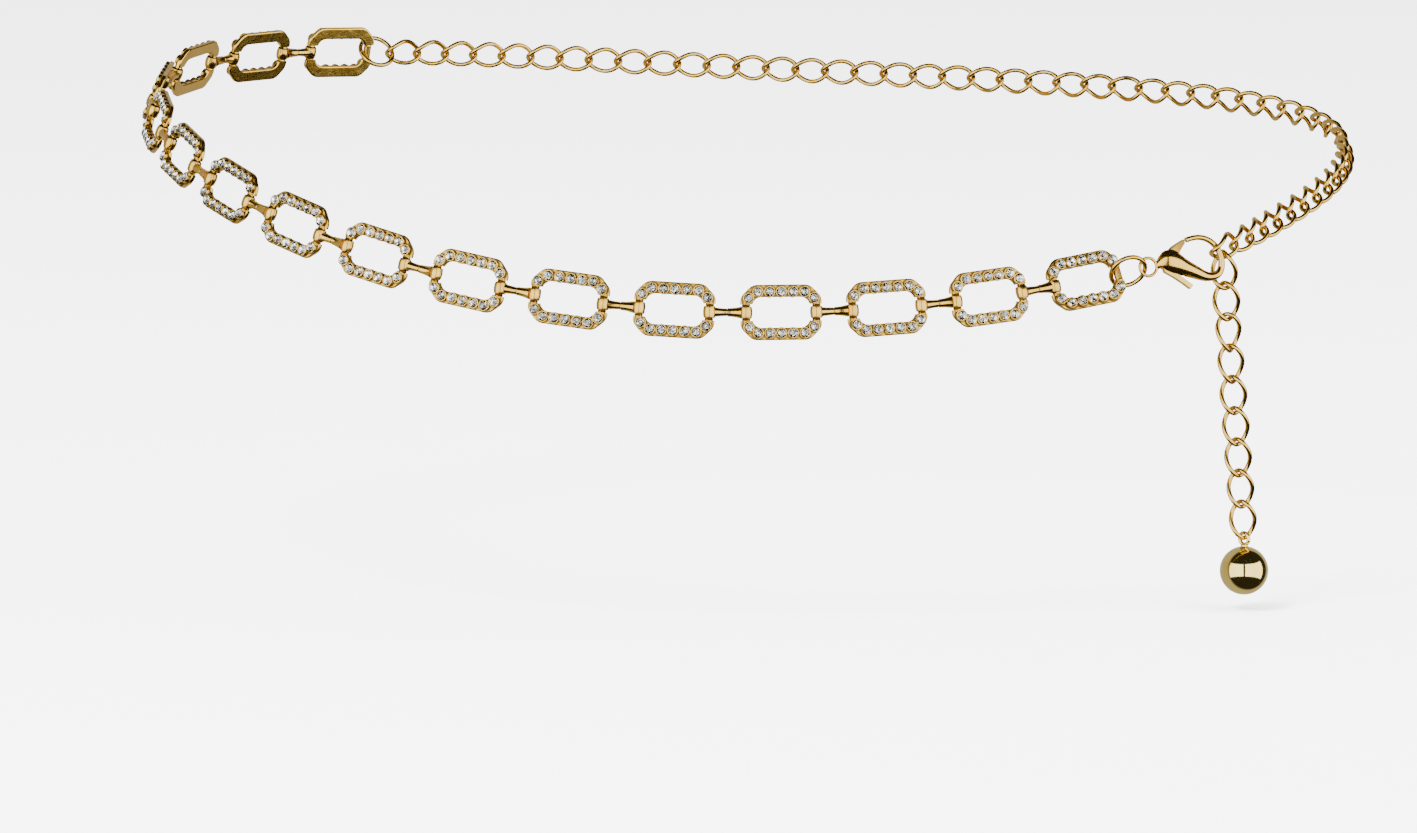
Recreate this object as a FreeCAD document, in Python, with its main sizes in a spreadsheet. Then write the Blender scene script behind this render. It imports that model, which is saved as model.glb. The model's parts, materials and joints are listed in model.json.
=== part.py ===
import FreeCAD, Part
import Sketcher
import math
import os

# Waist chain, worn on the hips. Millimetres, +Z up, the wearer faces -Y.
# The origin is the middle of the hips' space that the loop goes round.
# Places along the loop are stations: millimetres of arc from the front middle,
# growing towards +X, round the back and home again.

V = FreeCAD.Vector
doc = FreeCAD.newDocument("waist_chain")

# Driving sizes: alias, value, meaning
SIZES = (
    ("loop_left", 148.7, "half width of the loop, left of its middle"),
    ("loop_right", 165.8, "half width of the loop, right of its middle"),
    ("loop_front", 124.8, "depth of the loop's front half"),
    ("loop_back", 98.5, "depth of the loop's back half"),
    ("loop_middle_x", -7.9, "where the loop's front middle lies across"),
    ("loop_middle_y", 13.1, "where the loop's side points lie front to back"),
    ("loop_middle_z", 3.7, "mean height of the loop"),
    ("front_drop", 19.6, "how much lower the front hangs than the mean"),
    ("side_drop", 6.2, "how much lower the right side hangs"),
    ("waist_sag", 7.3, "twice-round sag of the loop"),
    ("waist_sway", 0.9, "twice-round sway of the loop"),
    ("clasp_bulge", 11.0, "how far the stiff clasp stands off the hips' curve"),
    ("bulge_angle", 50.0, "direction of that bulge from the front, degrees"),
    ("bulge_spread", 9.0, "spread of that bulge, degrees"),
    ("front_lean", 8.0, "lean of the links in front, top inwards, degrees"),
    ("side_lean", 22.0, "lean of the links at the sides, top inwards, degrees"),
    ("last_lean", 13.0, "extra lean of the link beside the clasp, degrees"),
    ("link_pitch", 27.0, "from one rhinestone link to the next"),
    ("last_station", 96.9, "station of the rhinestone link beside the clasp"),
    ("link_long", 20.6, "link frame length"),
    ("link_high", 14.0, "link frame height"),
    ("link_corner", 3.1, "chamfer of the frame's corners"),
    ("link_round", 3.0, "rounding of the chamfered corners"),
    ("open_long", 14.6, "opening length"),
    ("open_high", 7.7, "opening height"),
    ("open_round", 2.4, "opening corner radius"),
    ("plate_deep", 1.2, "frame plate thickness"),
    ("notch_high", 4.2, "bare stretch of the end bar"),
    ("bar_radius", 1.0, "end bar radius"),
    ("bar_offset", 8.9, "end bar axis from the link's middle"),
    ("bar_sink", 0.5, "how far a bar's ends run into the frame"),
    ("overshoot", 1.0, "how far a cutting cylinder runs past the metal"),
    ("cup_radius", 1.5, "stone cup radius"),
    ("cup_top", 1.1, "cup rim above the link's middle plane"),
    ("cup_bore", 1.22, "stone seat radius"),
    ("cup_deep", 0.75, "stone seat depth"),
    ("stone_pitch", 2.95, "stone spacing in a row"),
    ("row_offset", 5.2, "stone row from the link's middle"),
    ("corner_long", 8.3, "corner stone from the middle, along"),
    ("corner_high", 3.65, "corner stone from the middle, across"),
    ("stone_radius", 1.1, "stone girdle radius"),
    ("crown_deep", 0.3, "crown height"),
    ("pavilion_deep", 0.6, "pavilion depth"),
    ("table_inset", 0.44, "crown inset to the table"),
    ("culet_inset", 0.88, "pavilion inset to the culet"),
    ("stone_gap", 0.1, "clearance under the culet"),
    ("stone_girdle", 0.06, "girdle thickness"),
    ("knuckle_radius", 1.65, "connector knuckle radius"),
    ("knuckle_bore", 1.25, "connector knuckle bore radius"),
    ("knuckle_high", 3.0, "connector knuckle height"),
    ("neck_radius", 1.0, "connector neck radius at its middle"),
    ("neck_root", 1.3, "connector neck radius at the knuckles"),
    ("ring_radius", 4.6, "jump ring centreline radius"),
    ("ring_wire", 0.6, "jump ring wire radius"),
    ("ring_tilt", 55.0, "tilt of a jump ring from its link, degrees"),
    ("ring_slack", 0.15, "play between a ring and what it holds"),
    ("curb_pitch", 8.1, "curb chain pitch of the free end"),
    ("curb_long", 4.75, "curb link centreline half length"),
    ("curb_wide", 3.05, "curb link centreline half width"),
    ("curb_wire", 0.6, "curb link wire radius"),
    ("curb_twist", -45.0, "twist of each end of a curb link, degrees"),
    ("hooked_station", 136.9, "station of the hooked curb link's middle"),
    ("hooked_turn", 31.0, "turn of the hooked link about the chain, degrees"),
    ("eye_slack", 0.42, "play between the front ring and the clasp's eye"),
    ("tail_slack", 0.25, "play between the hooked link and the free end"),
    ("tail_lean", 4.7, "lean of the free end towards the right, degrees"),
    ("hook_grip", 3.0, "hooked link's middle from the hook's wire"),
    ("eye_radius", 2.3, "clasp eye centreline radius"),
    ("eye_wire", 0.42, "clasp eye wire radius"),
    ("slot_wide", 2.2, "slot for the lever"),
    ("slot_start", 2.9, "slot end near the eye"),
    ("slot_end", 10.4, "slot end near the hook"),
    ("slot_top", 5.6, "slot height above the clasp's middle line"),
    ("slot_foot", 8.0, "slot depth below the clasp's middle line"),
    ("lever_deep", 1.7, "lever thickness"),
    ("pivot_x", 5.8, "lever pivot from the eye, along"),
    ("pivot_y", 1.5, "lever pivot from the eye, up"),
    ("pin_radius", 0.5, "rivet radius"),
    ("pin_long", 4.6, "rivet length"),
    ("pin_play", 0.12, "play round the rivet"),
    ("ball_radius", 6.25, "ball radius"),
    ("drop_eye_radius", 1.5, "drop eye centreline radius"),
    ("drop_eye_wire", 0.5, "drop eye wire radius"),
    ("drop_neck", 0.9, "drop neck radius"),
    ("neck_sink", 0.6, "how far the drop's neck runs into the ball"),
    ("drop_play", 0.2, "play between the drop's eye and its wire"),
)

# Clasp horn sections: along, up, heading in degrees, half height, half width
HORN = (
    (2.2, 0.45, 12.0, 0.75, 0.75),
    (4.9, 1.8, 5.0, 3.1, 2.2),
    (9.0, 0.6, -15.0, 2.5, 2.3),
    (12.9, -0.75, -15.0, 1.75, 1.75),
    (16.6, -1.7, 0.0, 1.2, 1.2),
    (19.3, -0.6, 50.0, 1.0, 1.0),
    (20.0, 2.4, 95.0, 0.85, 0.85),
    (18.9, 5.5, 118.0, 0.8, 0.8),
    (16.5, 7.6, 152.0, 0.75, 0.75),
    (13.2, 8.2, 180.0, 0.7, 0.7),
    (10.2, 7.4, 205.0, 0.7, 0.7),
)
# Turn of each of the free end's first links about its length, degrees
TAIL_TURNS = (20.0, 0.0, -25.0, -15.0)
HORN_KEYS = ("along", "up", "heading", "tall", "wide")

# Lever outline seen from the front, gate tip first, going round by the tab
LEVER = (
    (9.35, 7.55),
    (9.75, 6.6),
    (8.4, 4.4),
    (7.4, 1.2),
    (7.0, -0.9),
    (9.9, -2.7),
    (12.1, -4.1),
    (11.4, -5.2),
    (9.6, -4.0),
    (7.0, -2.5),
    (4.3, -1.2),
    (3.6, 1.2),
    (4.3, 3.3),
    (6.2, 5.5),
)

LINKS = 16
HIDDEN_STONES = 3
CURB_LINKS = 50
TAIL_LINKS = 9
SETTLING_LINKS = 3
ROW_STONES = 5
STONE_SIDES = 8
WIRE_STEPS = 12
WIRE_SIDES = 5
LOOP_STEPS = 7200
# Half the stretch of the loop, in millimetres, that a piece takes its direction from
SEAT_REACH = 1.0
# Half the turn, in radians, that a curb link's wire takes its direction from
TURN_REACH = 0.01
# Size of a rectangle before its constraints set it
ROUGH_WIDE, ROUGH_HIGH = 10.0, 8.0
# Horn section that the hooked link hangs in
HOOK_SECTION = "08"

# Spreadsheet
sheet = doc.addObject("Spreadsheet::Sheet", "sizes")


def write_size(row, alias, value, note):
    sheet.set(f"A{row}", alias)
    sheet.set(f"B{row}", str(value))
    sheet.set(f"C{row}", note)
    sheet.setAlias(f"B{row}", alias)


row = 1
for alias, value, note in SIZES:
    write_size(row, alias, value, note)
    row += 1
for number, section in enumerate(HORN, 1):
    for key, value in zip(HORN_KEYS, section):
        write_size(row, f"horn_{key}_{number:02d}", value, f"clasp horn section {number}")
        row += 1
doc.recompute()


def size(alias):
    return float(sheet.get(alias))


def bind(target, **formulas):
    """Tie properties of a document object to the sheet's aliases."""
    for name, formula in formulas.items():
        target.setExpression(name.replace("__", "."), formula)


# Loop

def loop_point(angle):
    """Point of the loop at an angle from the front: four quarter ellipses, with the sag."""
    across = math.sin(angle)
    ahead = math.cos(angle)
    half_wide = size("loop_left") if across < 0 else size("loop_right")
    half_deep = size("loop_front") if ahead > 0 else size("loop_back")
    turned = (math.degrees(angle) + 180) % 360 - 180 - size("bulge_angle")
    bulge = size("clasp_bulge") * math.exp(-((turned / size("bulge_spread")) ** 2))
    rise = size("loop_middle_z") - size("front_drop") * ahead - size("side_drop") * across
    rise += -size("waist_sag") * math.cos(2 * angle) + size("waist_sway") * math.sin(2 * angle)
    return V(size("loop_middle_x") + half_wide * across,
             size("loop_middle_y") - half_deep * ahead - bulge, rise)


step = 2 * math.pi / LOOP_STEPS
loop_points = [loop_point(step * number) for number in range(LOOP_STEPS + 1)]
loop_arc = [0.0]
for number in range(LOOP_STEPS):
    loop_arc.append(loop_arc[-1] + (loop_points[number + 1] - loop_points[number]).Length)
LOOP_LENGTH = loop_arc[-1]


def angle_at(station):
    """Angle of a station, by halving the table of arc lengths."""
    target = station % LOOP_LENGTH
    low, high = 0, LOOP_STEPS
    while high - low > 1:
        middle = (low + high) // 2
        if loop_arc[middle] <= target:
            low = middle
        else:
            high = middle
    part = (target - loop_arc[low]) / (loop_arc[high] - loop_arc[low])
    return step * (low + part)


def place_at(station):
    return loop_point(angle_at(station))


def unit(vector):
    return vector * (1 / vector.Length)


def square_to(vector, axis):
    return unit(vector - axis * vector.dot(axis))


def placing(point, along, upward):
    """Placement whose X runs along, Y as near upward as it can, Z outwards."""
    along = unit(along)
    upward = square_to(upward, along)
    return FreeCAD.Placement(point, FreeCAD.Rotation(along, upward, along.cross(upward), "XYZ"))


def hips_up(angle):
    """Up the hips' surface, which leans inwards as it rises."""
    lean_side = math.tan(math.radians(size("side_lean")))
    lean_front = math.tan(math.radians(size("front_lean")))
    return V(-lean_side * math.sin(angle), lean_front * math.cos(angle), 1.0)


def seat(station, lean=0.0):
    """Placement of a piece on the loop, with an extra lean about the chain."""
    along = place_at(station + SEAT_REACH) - place_at(station - SEAT_REACH)
    placement = placing(place_at(station), along, hips_up(angle_at(station)))
    turn = FreeCAD.Rotation(V(1, 0, 0), lean)
    return FreeCAD.Placement(placement.Base, placement.Rotation.multiply(turn))


def world(placement, x=0.0, y=0.0, z=0.0):
    return placement.multVec(V(x, y, z))


def heading(placement, x=0.0, y=0.0, z=0.0):
    return placement.Rotation.multVec(V(x, y, z))


# Masters: each repeated piece once, at the origin

def origin_plane(body, role):
    return [item for item in body.Origin.OriginFeatures if item.Role == role][0]


def rectangle(body, name, wide, high):
    """Sketch of a centred rectangle on the body's XY plane, sized from the sheet."""
    sketch = body.newObject("Sketcher::SketchObject", name)
    sketch.AttachmentSupport = [(origin_plane(body, "XY_Plane"), "")]
    sketch.MapMode = "FlatFace"
    corners = [V(across * ROUGH_WIDE / 2, up * ROUGH_HIGH / 2, 0)
               for across, up in ((-1, -1), (1, -1), (1, 1), (-1, 1))]
    for number in range(4):
        sketch.addGeometry(Part.LineSegment(corners[number], corners[(number + 1) % 4]))
    for number in range(4):
        sketch.addConstraint(Sketcher.Constraint("Coincident", number, 2, (number + 1) % 4, 1))
    for number, kind in enumerate(("Horizontal", "Vertical", "Horizontal", "Vertical")):
        sketch.addConstraint(Sketcher.Constraint(kind, number))
    sketch.addConstraint(Sketcher.Constraint("Symmetric", 0, 1, 1, 2, -1, 1))
    for kind, line, label in (("DistanceX", 0, "wide"), ("DistanceY", 1, "high")):
        number = sketch.addConstraint(Sketcher.Constraint(kind, line, 1, line, 2, ROUGH_HIGH))
        sketch.renameConstraint(number, label)
    bind(sketch, Constraints__wide=wide, Constraints__high=high)
    return sketch


def upright_edges(feature):
    """Names of the edges that run through the plate."""
    names = []
    for number, edge in enumerate(feature.Shape.Edges, 1):
        ends = [vertex.Point for vertex in edge.Vertexes]
        if len(ends) == 2 and (ends[0] - ends[1]).cross(V(0, 0, 1)).Length < 1e-6:
            names.append(f"Edge{number}")
    return names


def frame_plate():
    """Plate of a link frame: an eight-sided oval with a rounded opening."""
    body = doc.addObject("PartDesign::Body", "frame_plate")
    outline = rectangle(body, "plate_outline", "sizes.link_long", "sizes.link_high")
    pad = body.newObject("PartDesign::Pad", "plate_pad")
    pad.Profile = outline
    bind(pad, Length="sizes.plate_deep")
    doc.recompute()
    corners = body.newObject("PartDesign::Chamfer", "plate_corners")
    corners.Base = (pad, upright_edges(pad))
    bind(corners, Size="sizes.link_corner")
    doc.recompute()
    soft = body.newObject("PartDesign::Fillet", "plate_rounding")
    soft.Base = (corners, upright_edges(corners))
    bind(soft, Radius="sizes.link_round")
    doc.recompute()
    known = {edge_key(edge) for edge in soft.Shape.Edges}
    window = rectangle(body, "plate_opening", "sizes.open_long", "sizes.open_high")
    cut = body.newObject("PartDesign::Pocket", "plate_pocket")
    cut.Profile = window
    cut.Type = "ThroughAll"
    cut.SideType = "Symmetric"
    doc.recompute()
    inner = [name for name in upright_edges(cut)
             if edge_key(cut.Shape.getElement(name)) not in known]
    smooth = body.newObject("PartDesign::Fillet", "opening_rounding")
    smooth.Base = (cut, inner)
    bind(smooth, Radius="sizes.open_round")
    doc.recompute()
    notch = rectangle(body, "bar_notch", "2 * sizes.link_long", "sizes.notch_high")
    gap = body.newObject("PartDesign::Pocket", "notch_pocket")
    gap.Profile = notch
    gap.Type = "ThroughAll"
    gap.SideType = "Symmetric"
    bind(body, Placement__Base__z="-sizes.bar_radius")
    doc.recompute()
    return body


def edge_key(edge):
    middle = edge.CenterOfMass
    return (round(middle.x, 3), round(middle.y, 3))


def stone_spots():
    """Middles of a link's fourteen stones, alternate ones first, as neighbours' cups meet."""
    spots = []
    between = []
    for side in (1, -1):
        for number in range(ROW_STONES):
            along = (number - (ROW_STONES - 1) / 2) * size("stone_pitch")
            chosen = between if number % 2 else spots
            chosen.append(V(along, side * size("row_offset"), 0))
        for end in (1, -1):
            between.append(V(end * size("corner_long"), side * size("corner_high"), 0))
    return spots, between


def array_of(name, master, placements):
    """One object that shows its master at many placements."""
    link = doc.addObject("App::Link", name)
    link.setLink(master)
    link.ShowElement = False
    link.ElementCount = len(placements)
    link.PlacementList = placements
    return link


def cylinder(name, radius, height, **more):
    item = doc.addObject("Part::Cylinder", name)
    bind(item, Radius=radius, Height=height, **more)
    return item


def fused(name, items):
    item = doc.addObject("Part::MultiFuse", name)
    item.Shapes = items
    return item


def cut_from(name, base, tool):
    item = doc.addObject("Part::Cut", name)
    item.Base = base
    item.Tool = tool
    return item


def lay_across(item, height):
    """Turn a cylinder so that its axis runs up the link, centred."""
    item.Placement = FreeCAD.Placement(V(0, 0, 0), FreeCAD.Rotation(V(1, 0, 0), -90))
    bind(item, Placement__Base__y=f"-{height} / 2")
    return item


def link_frame():
    """Whole link frame: plate, fourteen cups with their seats, two end bars."""
    plate = frame_plate()
    cup = cylinder("cup", "sizes.cup_radius", "sizes.cup_top + sizes.plate_deep / 2",
                   Placement__Base__z="-sizes.plate_deep / 2")
    bore = cylinder("cup_seat", "sizes.cup_bore", "sizes.cup_deep + sizes.overshoot",
                    Placement__Base__z="sizes.cup_top - sizes.cup_deep")
    cups = []
    for name, spots in zip(("outer", "between"), stone_spots()):
        placements = [FreeCAD.Placement(spot, FreeCAD.Rotation()) for spot in spots]
        cups.append(array_of(f"cups_{name}", cup, placements))
    placements = [FreeCAD.Placement(spot, FreeCAD.Rotation()) for spot in sum(stone_spots(), [])]
    seats = array_of("cup_seats", bore, placements)
    bars = []
    bar_long = "(sizes.notch_high + 2 * sizes.bar_sink)"
    for side, sign in (("left", "-"), ("right", "")):
        bar = cylinder(f"end_bar_{side}", "sizes.bar_radius", bar_long)
        lay_across(bar, bar_long)
        bind(bar, Placement__Base__x=f"{sign}sizes.bar_offset")
        bars.append(bar)
    solid = fused("frame_solid", [plate] + cups + bars)
    return cut_from("frame_master", solid, seats)


def facet(points):
    return Part.Face(Part.makePolygon(list(points) + [points[0]]))


def solid_of(name, faces):
    """A closed solid of flat facets as a document object."""
    solid = Part.Solid(Part.Shell(faces))
    if solid.Volume < 0:
        solid.reverse()
    item = doc.addObject("Part::Feature", name)
    item.Shape = solid
    return item


def stone():
    """Cut stone: table, eight crown facets, girdle, eight pavilion facets and culet."""
    girdle = size("stone_radius")
    inset = 1 / math.cos(math.pi / STONE_SIDES)
    base = size("cup_top") - size("cup_deep") + size("stone_gap")
    levels = (
        (0.0, girdle - size("culet_inset") * inset),
        (size("pavilion_deep"), girdle),
        (size("pavilion_deep") + size("stone_girdle"), girdle),
        (size("pavilion_deep") + size("stone_girdle") + size("crown_deep"),
         girdle - size("table_inset") * inset),
    )
    rings = []
    for rise, radius in levels:
        angles = [2 * math.pi * (number + 0.5) / STONE_SIDES for number in range(STONE_SIDES)]
        rings.append([V(radius * math.cos(angle), radius * math.sin(angle), base + rise)
                      for angle in angles])
    faces = [facet(rings[0][::-1]), facet(rings[-1])]
    for lower, upper in zip(rings, rings[1:]):
        for number in range(STONE_SIDES):
            following = (number + 1) % STONE_SIDES
            faces.append(facet((lower[number], lower[following], upper[following],
                                upper[number])))
    return solid_of("stone_master", faces)


def connector():
    """Dog bone: a knuckle at each end, bored for the bar, and a waisted neck."""
    span = "(sizes.link_pitch / 2 - sizes.bar_offset)"
    bore_long = "(sizes.knuckle_high + sizes.overshoot)"
    items = []
    bores = []
    for side, sign, turn in (("left", "-", 90), ("right", "", -90)):
        knuckle = cylinder(f"knuckle_{side}", "sizes.knuckle_radius", "sizes.knuckle_high")
        lay_across(knuckle, "sizes.knuckle_high")
        bind(knuckle, Placement__Base__x=f"{sign}{span}")
        bore = cylinder(f"knuckle_bore_{side}", "sizes.knuckle_bore", bore_long)
        lay_across(bore, bore_long)
        bind(bore, Placement__Base__x=f"{sign}{span}")
        neck = doc.addObject("Part::Cone", f"neck_{side}")
        neck.Placement = FreeCAD.Placement(V(0, 0, 0), FreeCAD.Rotation(V(0, 1, 0), turn))
        bind(neck, Radius1="sizes.neck_root", Radius2="sizes.neck_radius", Height=span,
             Placement__Base__x=f"{sign}{span}")
        items += [knuckle, neck]
        bores.append(bore)
    return cut_from("connector_master", fused("connector_solid", items),
                    fused("connector_bores", bores))


def torus(name, radius, wire):
    item = doc.addObject("Part::Torus", name)
    bind(item, Radius1=radius, Radius2=wire)
    return item


def curb_path(turn):
    """Centreline of a curb link: an oval whose ends are twisted against each other."""
    twist = math.radians(size("curb_twist")) * math.cos(turn)
    wide = size("curb_wide") * math.sin(turn)
    return V(size("curb_long") * math.cos(turn), wide * math.cos(twist), wide * math.sin(twist))


def curb_link():
    """Curb link in flat facets: a ring of small wire sections round the twisted oval."""
    rings = []
    for number in range(WIRE_STEPS):
        turn = 2 * math.pi * (number + 0.5) / WIRE_STEPS
        centre = curb_path(turn)
        along = unit(curb_path(turn + TURN_REACH) - curb_path(turn - TURN_REACH))
        outward = square_to(centre, along)
        side = along.cross(outward)
        ring = []
        for corner in range(WIRE_SIDES):
            angle = 2 * math.pi * corner / WIRE_SIDES
            ring.append(centre + (outward * math.cos(angle) + side * math.sin(angle))
                        * size("curb_wire"))
        rings.append(ring)
    faces = []
    for number in range(WIRE_STEPS):
        here = rings[number]
        there = rings[(number + 1) % WIRE_STEPS]
        for corner in range(WIRE_SIDES):
            following = (corner + 1) % WIRE_SIDES
            for points in ((here[corner], here[following], there[following]),
                           (here[corner], there[following], there[corner])):
                faces.append(facet(points))
    return solid_of("curb_master", faces)


def horn():
    """Clasp body without its eye: ellipses lofted from the eye round to the hook's tip."""
    sections = []
    for number in range(1, len(HORN) + 1):
        suffix = f"{number:02d}"
        ring = doc.addObject("Part::Ellipse", f"horn_section_{suffix}")
        turn = FreeCAD.Rotation(V(0, 0, 1), size(f"horn_heading_{suffix}"))
        face = FreeCAD.Rotation(V(0, 1, 0), V(0, 0, 1), V(1, 0, 0), "XYZ")
        ring.Placement = FreeCAD.Placement(V(0, 0, 0), turn.multiply(face))
        bind(ring, MajorRadius=f"sizes.horn_tall_{suffix}", MinorRadius=f"sizes.horn_wide_{suffix}",
             Placement__Base__x=f"sizes.horn_along_{suffix}",
             Placement__Base__y=f"sizes.horn_up_{suffix}")
        sections.append(ring)
    loft = doc.addObject("Part::Loft", "horn")
    loft.Sections = sections
    loft.Solid = True
    loft.Ruled = False
    return loft


def clasp_parts():
    """Clasp body with its eye, slot and rivet, and the lever that turns on the rivet."""
    eye = torus("clasp_eye", "sizes.eye_radius", "sizes.eye_wire")
    slot = doc.addObject("Part::Box", "clasp_slot")
    bind(slot, Length="sizes.slot_end - sizes.slot_start", Width="sizes.slot_top + sizes.slot_foot",
         Height="sizes.slot_wide", Placement__Base__x="sizes.slot_start",
         Placement__Base__y="-sizes.slot_foot", Placement__Base__z="-sizes.slot_wide / 2")
    pin = cylinder("clasp_rivet", "sizes.pin_radius", "sizes.pin_long",
                   Placement__Base__x="sizes.pivot_x", Placement__Base__y="sizes.pivot_y",
                   Placement__Base__z="-sizes.pin_long / 2")
    hollow = cut_from("clasp_slotted", horn(), slot)
    body = fused("clasp_body_master", [hollow, eye, pin])

    blade = doc.addObject("PartDesign::Body", "lever_blade")
    sketch = blade.newObject("Sketcher::SketchObject", "lever_outline")
    sketch.AttachmentSupport = [(origin_plane(blade, "XY_Plane"), "")]
    sketch.MapMode = "FlatFace"
    for number, point in enumerate(LEVER):
        following = LEVER[(number + 1) % len(LEVER)]
        sketch.addGeometry(Part.LineSegment(V(*point, 0), V(*following, 0)))
    for number in range(len(LEVER)):
        sketch.addConstraint(Sketcher.Constraint("Coincident", number, 2,
                                                 (number + 1) % len(LEVER), 1))
    pad = blade.newObject("PartDesign::Pad", "lever_pad")
    pad.Profile = sketch
    pad.SideType = "Symmetric"
    bind(pad, Length="sizes.lever_deep")
    bore = cylinder("lever_bore", "sizes.pin_radius + sizes.pin_play", "sizes.pin_long",
                    Placement__Base__x="sizes.pivot_x", Placement__Base__y="sizes.pivot_y",
                    Placement__Base__z="-sizes.pin_long / 2")
    return body, cut_from("clasp_lever_master", blade, bore)


def ball_drop():
    """Ball with a short neck and an eye, the eye's centre at the origin."""
    drop = "sizes.drop_eye_radius + sizes.ball_radius + sizes.drop_eye_wire"
    ball = doc.addObject("Part::Sphere", "ball")
    bind(ball, Radius="sizes.ball_radius", Placement__Base__z=f"-({drop})")
    foot = "-sizes.drop_eye_radius - sizes.drop_eye_wire - sizes.neck_sink"
    neck = cylinder("ball_neck", "sizes.drop_neck", "sizes.drop_eye_wire + sizes.neck_sink",
                    Placement__Base__z=foot)
    eye = torus("ball_eye", "sizes.drop_eye_radius", "sizes.drop_eye_wire")
    eye.Placement = FreeCAD.Placement(V(0, 0, 0), FreeCAD.Rotation(V(1, 0, 0), 90))
    return fused("ball_drop_master", [ball, neck, eye])


# Assembly

nodes = []


def show(label, master, placement):
    """A named piece: its master at its place."""
    item = doc.addObject("App::Link", label)
    item.setLink(master)
    item.Label = label
    item.LinkPlacement = placement
    nodes.append(item)
    return item


frame_master = link_frame()
stone_master = stone()
connector_master = connector()
ring_master = torus("ring_master", "sizes.ring_radius", "sizes.ring_wire")
curb_master = curb_link()
clasp_body_master, clasp_lever_master = clasp_parts()
ball_master = ball_drop()
doc.recompute()

# Rhinestone links, counted from the hidden back end to the clasp
link_seats = []
for number in range(LINKS):
    station = size("last_station") - (LINKS - 1 - number) * size("link_pitch")
    lean = -size("last_lean") if number == LINKS - 1 else 0.0
    link_seats.append(seat(station, lean))
    show(f"link_frame_{number + 1:02d}", frame_master, link_seats[-1])

for number in range(LINKS - 1):
    first = link_seats[number]
    second = link_seats[number + 1]
    start = world(first, x=size("bar_offset"))
    finish = world(second, x=-size("bar_offset"))
    upward = heading(first, y=1) + heading(second, y=1)
    middle = placing((start + finish) * 0.5, finish - start, upward)
    show(f"connector_{number + 1:02d}", connector_master, middle)

# Stones of the links that show, in two nodes
half = (LINKS + HIDDEN_STONES) // 2
for label, chosen in (("stones_left", range(HIDDEN_STONES, half)),
                      ("stones_right", range(half, LINKS))):
    placements = []
    for number in chosen:
        for spot in sum(stone_spots(), []):
            local = FreeCAD.Placement(spot, FreeCAD.Rotation())
            placements.append(link_seats[number].multiply(local))
    nodes.append(array_of(label, stone_master, placements))

# Jump rings at both ends of the rhinestone links, each pulled tight on its end bar
ring_reach = size("ring_radius") - size("ring_wire") - size("bar_radius") - size("ring_slack")
ring_hold = size("ring_radius") - size("ring_wire") - size("ring_slack")


def jump_ring(label, link_seat, side, target):
    """Ring on a link's end bar, drawn towards a target, and the line it is drawn along."""
    bar = world(link_seat, x=side * size("bar_offset"))
    away = unit(target - bar)
    chain = placing(bar + away * ring_reach, away * side, heading(link_seat, y=1))
    turn = FreeCAD.Rotation(V(1, 0, 0), size("ring_tilt"))
    show(label, ring_master, FreeCAD.Placement(chain.Base, chain.Rotation.multiply(turn)))
    return chain.Base, away


clasp_station = size("last_station") + size("bar_offset") + 2 * size("ring_radius")
front_middle, front_line = jump_ring("front_ring", link_seats[-1], 1, place_at(clasp_station))
first_station = size("last_station") - (LINKS - 1) * size("link_pitch")
curb_hold = ring_hold - size("curb_wire") + size("curb_long")
curb_station = first_station - size("bar_offset") - ring_reach - curb_hold
back_middle, back_line = jump_ring("back_ring", link_seats[0], -1, place_at(curb_station))

# Clasp, from its eye in the front ring to the hooked curb link
contact_along = size(f"horn_along_{HOOK_SECTION}")
contact_up = size(f"horn_up_{HOOK_SECTION}")
eye_hold = size("ring_radius") - size("ring_wire") - size("eye_slack") - size("eye_wire")
eye_point = front_middle + front_line * (eye_hold + size("eye_radius"))
hooked = seat(size("hooked_station"), size("hooked_turn"))
contact = world(hooked, x=-size("hook_grip"))
reach = contact - eye_point
view = V(0, -math.cos(math.radians(size("front_lean"))), math.sin(math.radians(size("front_lean"))))
outward = square_to(view, unit(reach))
flat = placing(eye_point, reach, outward.cross(unit(reach)))
turn = FreeCAD.Rotation(V(0, 0, 1), -math.degrees(math.atan2(contact_up, contact_along)))
clasp_seat = FreeCAD.Placement(eye_point, flat.Rotation.multiply(turn))
show("clasp_body", clasp_body_master, clasp_seat)
show("clasp_lever", clasp_lever_master, clasp_seat)

# Curb chain round the right side and the back, its last link drawn on by the back ring
curb_end = curb_station + LOOP_LENGTH
curb_step = (curb_end - size("hooked_station")) / (CURB_LINKS - 1)
curb_seats = []
for number in range(CURB_LINKS - 1):
    fade = max(0.0, 1 - number / SETTLING_LINKS)
    curb_seats.append(seat(size("hooked_station") + curb_step * number,
                           size("hooked_turn") * fade))
curb_last = back_middle + back_line * curb_hold
curb_seats.append(placing(curb_last, back_line * -1, hips_up(angle_at(curb_end))))
nodes.append(array_of("curb_chain", curb_master, curb_seats))

# Free end: the first link holds the hooked link's lower wire
lean = math.radians(size("tail_lean"))
down = V(math.sin(lean), 0, -math.cos(lean))
top = world(hooked, y=-size("curb_wide"))
tail_first = top + down * (size("curb_long") - 2 * size("curb_wire") - size("tail_slack"))
tail_seats = []
for number in range(TAIL_LINKS):
    upright = placing(tail_first + down * (size("curb_pitch") * number), down, V(1, 0, 0))
    turned = TAIL_TURNS[number] if number < len(TAIL_TURNS) else 0.0
    turn = FreeCAD.Rotation(V(1, 0, 0), turned)
    tail_seats.append(FreeCAD.Placement(upright.Base, upright.Rotation.multiply(turn)))
nodes.append(array_of("tail_chain", curb_master, tail_seats))

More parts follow.
